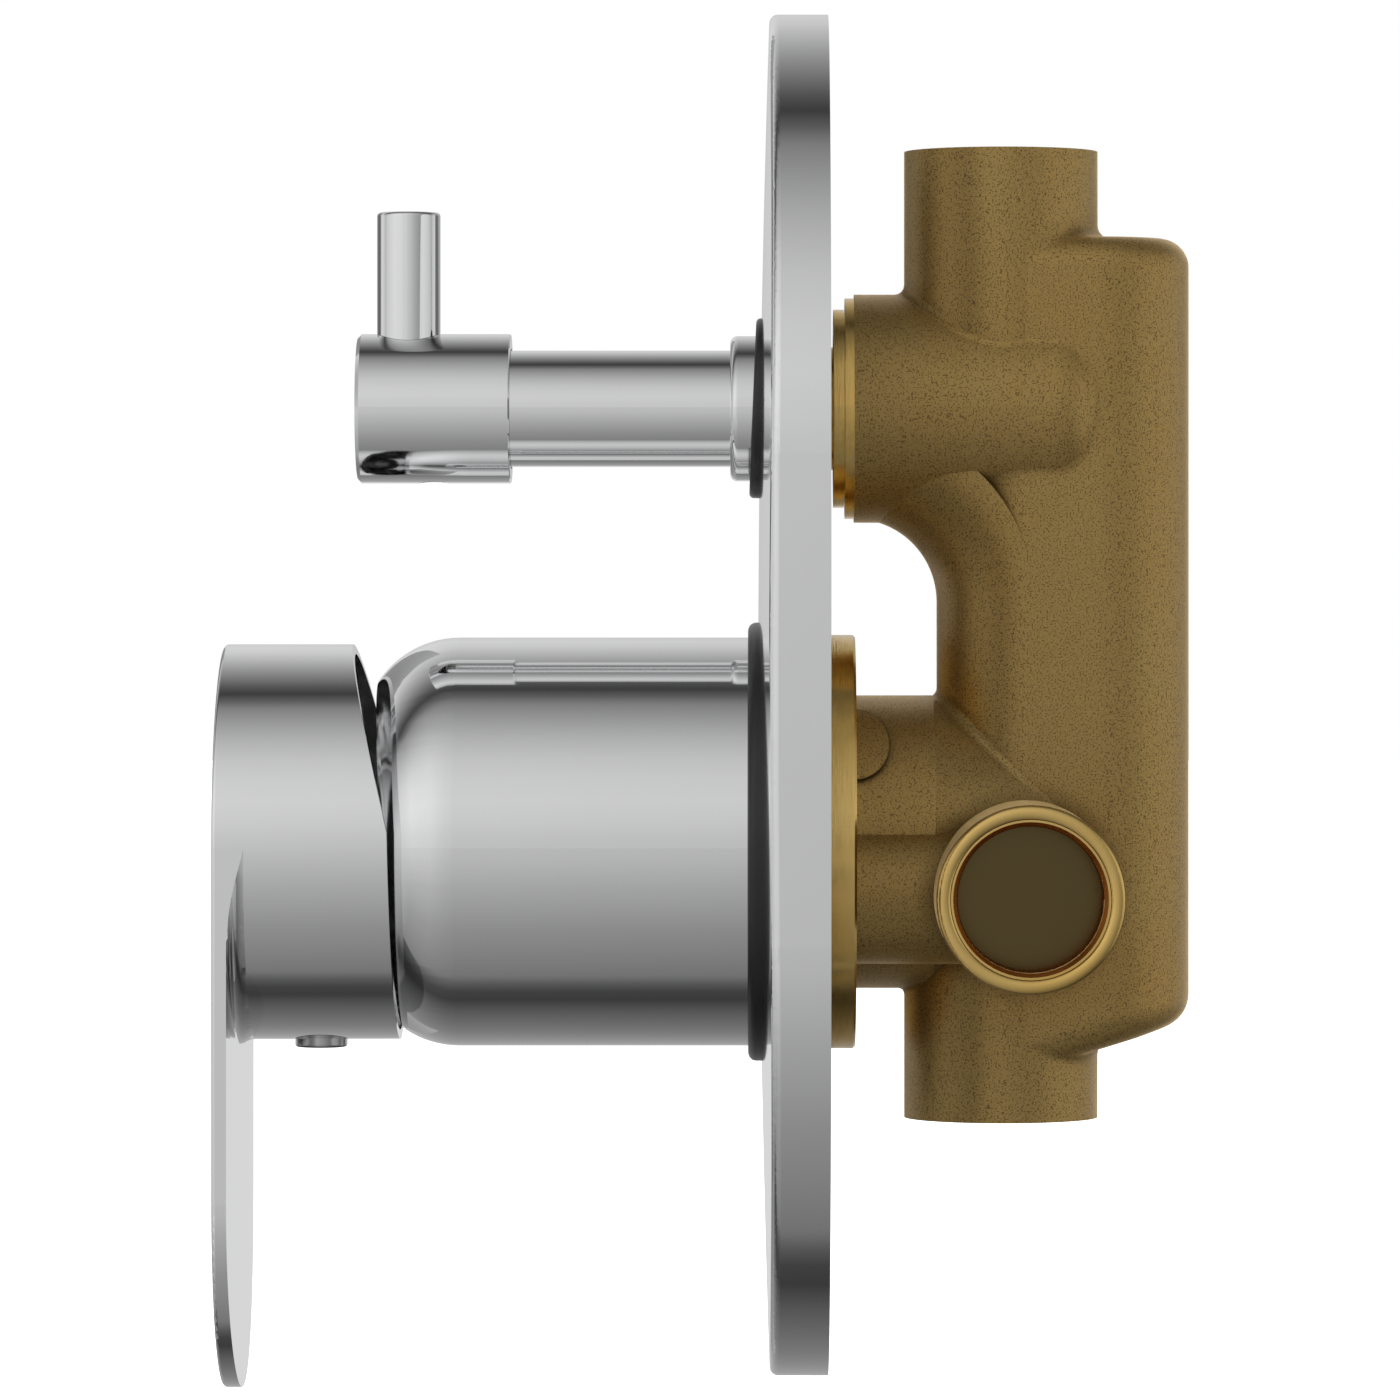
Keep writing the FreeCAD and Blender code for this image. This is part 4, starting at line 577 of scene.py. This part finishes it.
for side, sign in (("right", 1), ("left", -1)):
    start = Vector((sign * (PORT_FACE - LEAD_IN), INLET.y, INLET.z))
    spun = lathe(fine_tooth, start, (sign, 0, 0), SIDE_TURNS, THREAD_PITCH)
    kept_piece("thread_" + side, spun, THREAD_BRASS)
for end, sign, level in (("top", 1, CASTING_HIGH.z), ("bottom", -1, CASTING_LOW.z)):
    start = Vector((0, OUTLET.y, level - sign * LEAD_IN))
    spun = lathe(tooth, start, (0, 0, sign), END_TURNS, THREAD_PITCH)
    kept_piece("thread_" + end, spun, TURNED_BRASS)

# %% [markdown]
# ## The studio
#
# Chrome is photographed in a tent. White paper hangs around the object and a lamp behind it fades towards its
# edges, so the metal shows soft greys that run into one another. Where two papers meet, overhead and below,
# there is a dark gap, and that gap draws the crisp dark line along every tube. The tent here is a tube of
# paper about the valve's own axis, closed by two round ends, and only shiny surfaces see it. Behind the valve
# hang two cards: a white one, low, for the back of the lever's blade, and a black one that darkens front edges.

# %% A sheet of paper that only reflections see
def paper(name, mesh_maker, brightness):
    """A stage object made by a bmesh. Brightness takes a net and the place, and gives a grey."""
    material, net, place = surface(name)
    glow = net.node("ShaderNodeEmission", {}, {"Color": brightness(net, place), "Strength": 1.0})
    net.node("ShaderNodeOutputMaterial", {}, {"Surface": glow})
    work = bmesh.new()
    mesh_maker(work)
    sheet = as_object(work, name, material)
    sheet.visible_camera = False
    sheet.visible_diffuse = False
    sheet.visible_shadow = False
    sheet.visible_transmission = False
    return sheet


# %% The paper tube
TENT_R = 0.80
TENT_HALF = 1.00

# Grey of the paper by its angle round the valve's axis: 0 is towards the camera, plus is up.
ROUND_GREYS = [(-180, 0.55), (-168, 0.47), (-156, 0.35), (-144, 0.27), (-132, 0.20), (-120, 0.15), (-108, 0.10),
               (-97, 0.045), (-90, 0.055), (-84, 0.10), (-78, 0.18), (-66, 0.22), (-48, 0.275), (-24, 0.39), (0, 0.53),
               (12, 0.60), (24, 0.635), (36, 0.615), (48, 0.56), (60, 0.46), (72, 0.34), (84, 0.22), (90, 0.11),
               (96, 0.045), (102, 0.09), (108, 0.16), (120, 0.31), (132, 0.47), (144, 0.60), (156, 0.64), (180, 0.55)]
# How much the paper fades along the axis, from the lever's side (minus) to the wall's side (plus).
ALONG = [(-1.0, 1.30), (-0.45, 1.25), (0.0, 1.0), (0.21, 0.78), (0.45, 0.62), (0.75, 0.50), (1.0, 0.90)]
MOST_ALONG = 1.30


def scaled(points, low, high, most):
    """Ramp stops between 0 and 1 from a list of (place, value)."""
    return [((at - low) / (high - low), value / most) for at, value in points]


def round_grey(net, x, z):
    """Grey of the paper by its angle round the valve's axis."""
    angle = net.node("ShaderNodeMath", {"operation": "ARCTAN2"}, {0: z, 1: x})
    return net.ramp(angle * (0.5 / math.pi) + 0.5, scaled(ROUND_GREYS, -180, 180, 1.0))


def tube_grey(net, place):
    x, y, z = net.parts(place)
    fade = net.ramp(y * (0.5 / TENT_HALF) + 0.5, scaled(ALONG, -1.0, 1.0, MOST_ALONG))
    return round_grey(net, x, z) * fade * MOST_ALONG


def tube_mesh(work):
    """A circle drawn out along Y. It faces inwards, towards the valve."""
    ring = bmesh.ops.create_circle(work, segments=96, radius=TENT_R,
                                   matrix=Matrix.Translation((0, -TENT_HALF, 0)) @ Matrix.Rotation(math.pi / 2, 4, "X"))
    edges = list({edge for vert in ring["verts"] for edge in vert.link_edges})
    grown = bmesh.ops.extrude_edge_only(work, edges=edges)
    moved = [part for part in grown["geom"] if isinstance(part, bmesh.types.BMVert)]
    bmesh.ops.translate(work, verts=moved, vec=(0, 2 * TENT_HALF, 0))


paper("tent_tube", tube_mesh, tube_grey)

# %% The tent's two ends
def end_mesh(y):
    def make(work):
        bmesh.ops.create_circle(work, cap_ends=True, segments=96, radius=TENT_R,
                                matrix=Matrix.Translation((0, y, 0)) @ Matrix.Rotation(math.pi / 2, 4, "X"))
    return make


def end_grey(fade, middle):
    """The end sheet has the tube's greys at its rim, times a fade, and runs into one grey in the middle."""
    def make(net, place):
        x, y, z = net.parts(place)
        share = net.from_axis(place, (0, 0, 0), (1, 0, 1)) / TENT_R
        return (round_grey(net, x, z) * fade - middle) * share.clipped() + middle
    return make


paper("tent_front", end_mesh(-TENT_HALF), end_grey(1.30, 0.58))
paper("tent_back", end_mesh(TENT_HALF), end_grey(1.00, 0.70))

# %% Two cards behind the valve
def card(name, centre, half_y, half_z, grey, slope):
    """An upright sheet that faces the valve from behind. Its grey changes by a slope from its middle outwards."""
    def make(work):
        bmesh.ops.create_grid(work, x_segments=2, y_segments=2, size=1.0,
                              matrix=Matrix.Translation(centre) @ Matrix.Rotation(math.pi / 2, 4, "Y")
                              @ Matrix.Diagonal((half_z, half_y, 1, 1)))

    def tone(net, place):
        return grey + net.from_axis(place, centre, (0, 1, 1)) * slope

    paper(name, make, tone)


# The back of the lever's blade mirrors the white card. The black card draws the dark line along front edges.
card("white_card", centre=(-0.60, 0.35, -0.105), half_y=0.46, half_z=0.065, grey=0.72, slope=-0.08)
card("black_card", centre=(-0.45, -0.53, 0.0), half_y=0.37, half_z=0.45, grey=0.06, slope=0.60)
print("the tent is", 2 * TENT_R, "m wide and", 2 * TENT_HALF, "m long")

# %% [markdown]
# ## Background, floor and lamps
#
# The picture's background is plain white. That comes from the world's colour, seen by the camera alone, and
# not from stronger lamps. The floor is pale and lies below the valve, where it keeps a soft shadow.

# %% World
DULL_SKY = 0.55
world = bpy.data.worlds.new("studio")
bpy.context.scene.world = world
world.use_nodes = True
sky = Net(world.node_tree)
rays = sky.tree.nodes.new("ShaderNodeLightPath")
seen = Value(sky, rays.outputs["Is Camera Ray"])
mirrored = Value(sky, rays.outputs["Is Glossy Ray"])
passed = Value(sky, rays.outputs["Is Transmission Ray"])
white = (seen + mirrored + passed).clipped()
strength = white + (1 - white) * DULL_SKY
backdrop = sky.node("ShaderNodeBackground", {}, {"Color": (1, 1, 1, 1), "Strength": strength})
sky.node("ShaderNodeOutputWorld", {}, {"Surface": backdrop})

# %% Floor
FLOOR_DROP, FLOOR_HALF = 0.045, 6.0
GLOW_NEAR, GLOW_FAR = (0.30, 0.42), (0.42, 1.0)


def floor_finish():
    """Pale floor paper. To the camera it glows, more with the distance, and so melts into the white background."""
    material, net, place = surface("pale_floor")
    paper_grain = net.noise(place, 400.0, 2.0)
    tone = net.mixed(paper_grain, (0.86, 0.86, 0.86, 1), (0.90, 0.90, 0.90, 1))
    far = net.from_axis(place, (0, 0, 0), (1, 1, 0))
    glow = net.ramp(far, [GLOW_NEAR, GLOW_FAR])
    paper_light = net.node("ShaderNodeBsdfPrincipled", {}, {"Base Color": tone, "Roughness": 0.8})
    lit = net.node("ShaderNodeBsdfPrincipled", {},
                   {"Base Color": tone, "Roughness": 0.8, "Emission Color": glow, "Emission Strength": 1.0})
    camera_ray = net.node("ShaderNodeLightPath", {}, {})
    both = net.node("ShaderNodeMixShader", {}, {0: camera_ray, 1: paper_light, 2: lit})
    net.node("ShaderNodeOutputMaterial", {}, {"Surface": both})
    return material


work = bmesh.new()
bmesh.ops.create_grid(work, x_segments=2, y_segments=2, size=FLOOR_HALF,
                      matrix=Matrix.Translation((0, 0, LOW.z - FLOOR_DROP)))
floor = as_object(work, "floor", floor_finish())
floor.visible_glossy = False
print("floor", FLOOR_DROP, "m below the valve")

# %% Lamps
LAMP_SIZE = 0.9
LAMPS_AIM = Vector((0, 0, 0.02))


def soft_lamp(name, place, watts):
    """A large square lamp aimed at the valve's middle. Shiny surfaces don't see it, only the tent."""
    data = bpy.data.lights.new(name, "AREA")
    data.shape = "SQUARE"
    data.size = LAMP_SIZE
    data.energy = watts
    lamp = bpy.data.objects.new(name, data)
    lamp.location = place
    aim = LAMPS_AIM - Vector(place)
    lamp.rotation_euler = aim.to_track_quat("-Z", "Y").to_euler()
    lamp.visible_glossy = False
    bpy.context.scene.collection.objects.link(lamp)


soft_lamp("key_lamp", place=(0.9, -0.7, 1.3), watts=11.0)
soft_lamp("fill_lamp", place=(1.1, 0.9, 0.5), watts=5.0)
soft_lamp("back_lamp", place=(-1.2, 0.3, 0.8), watts=5.0)
print("three lamps,", LAMP_SIZE, "m wide")
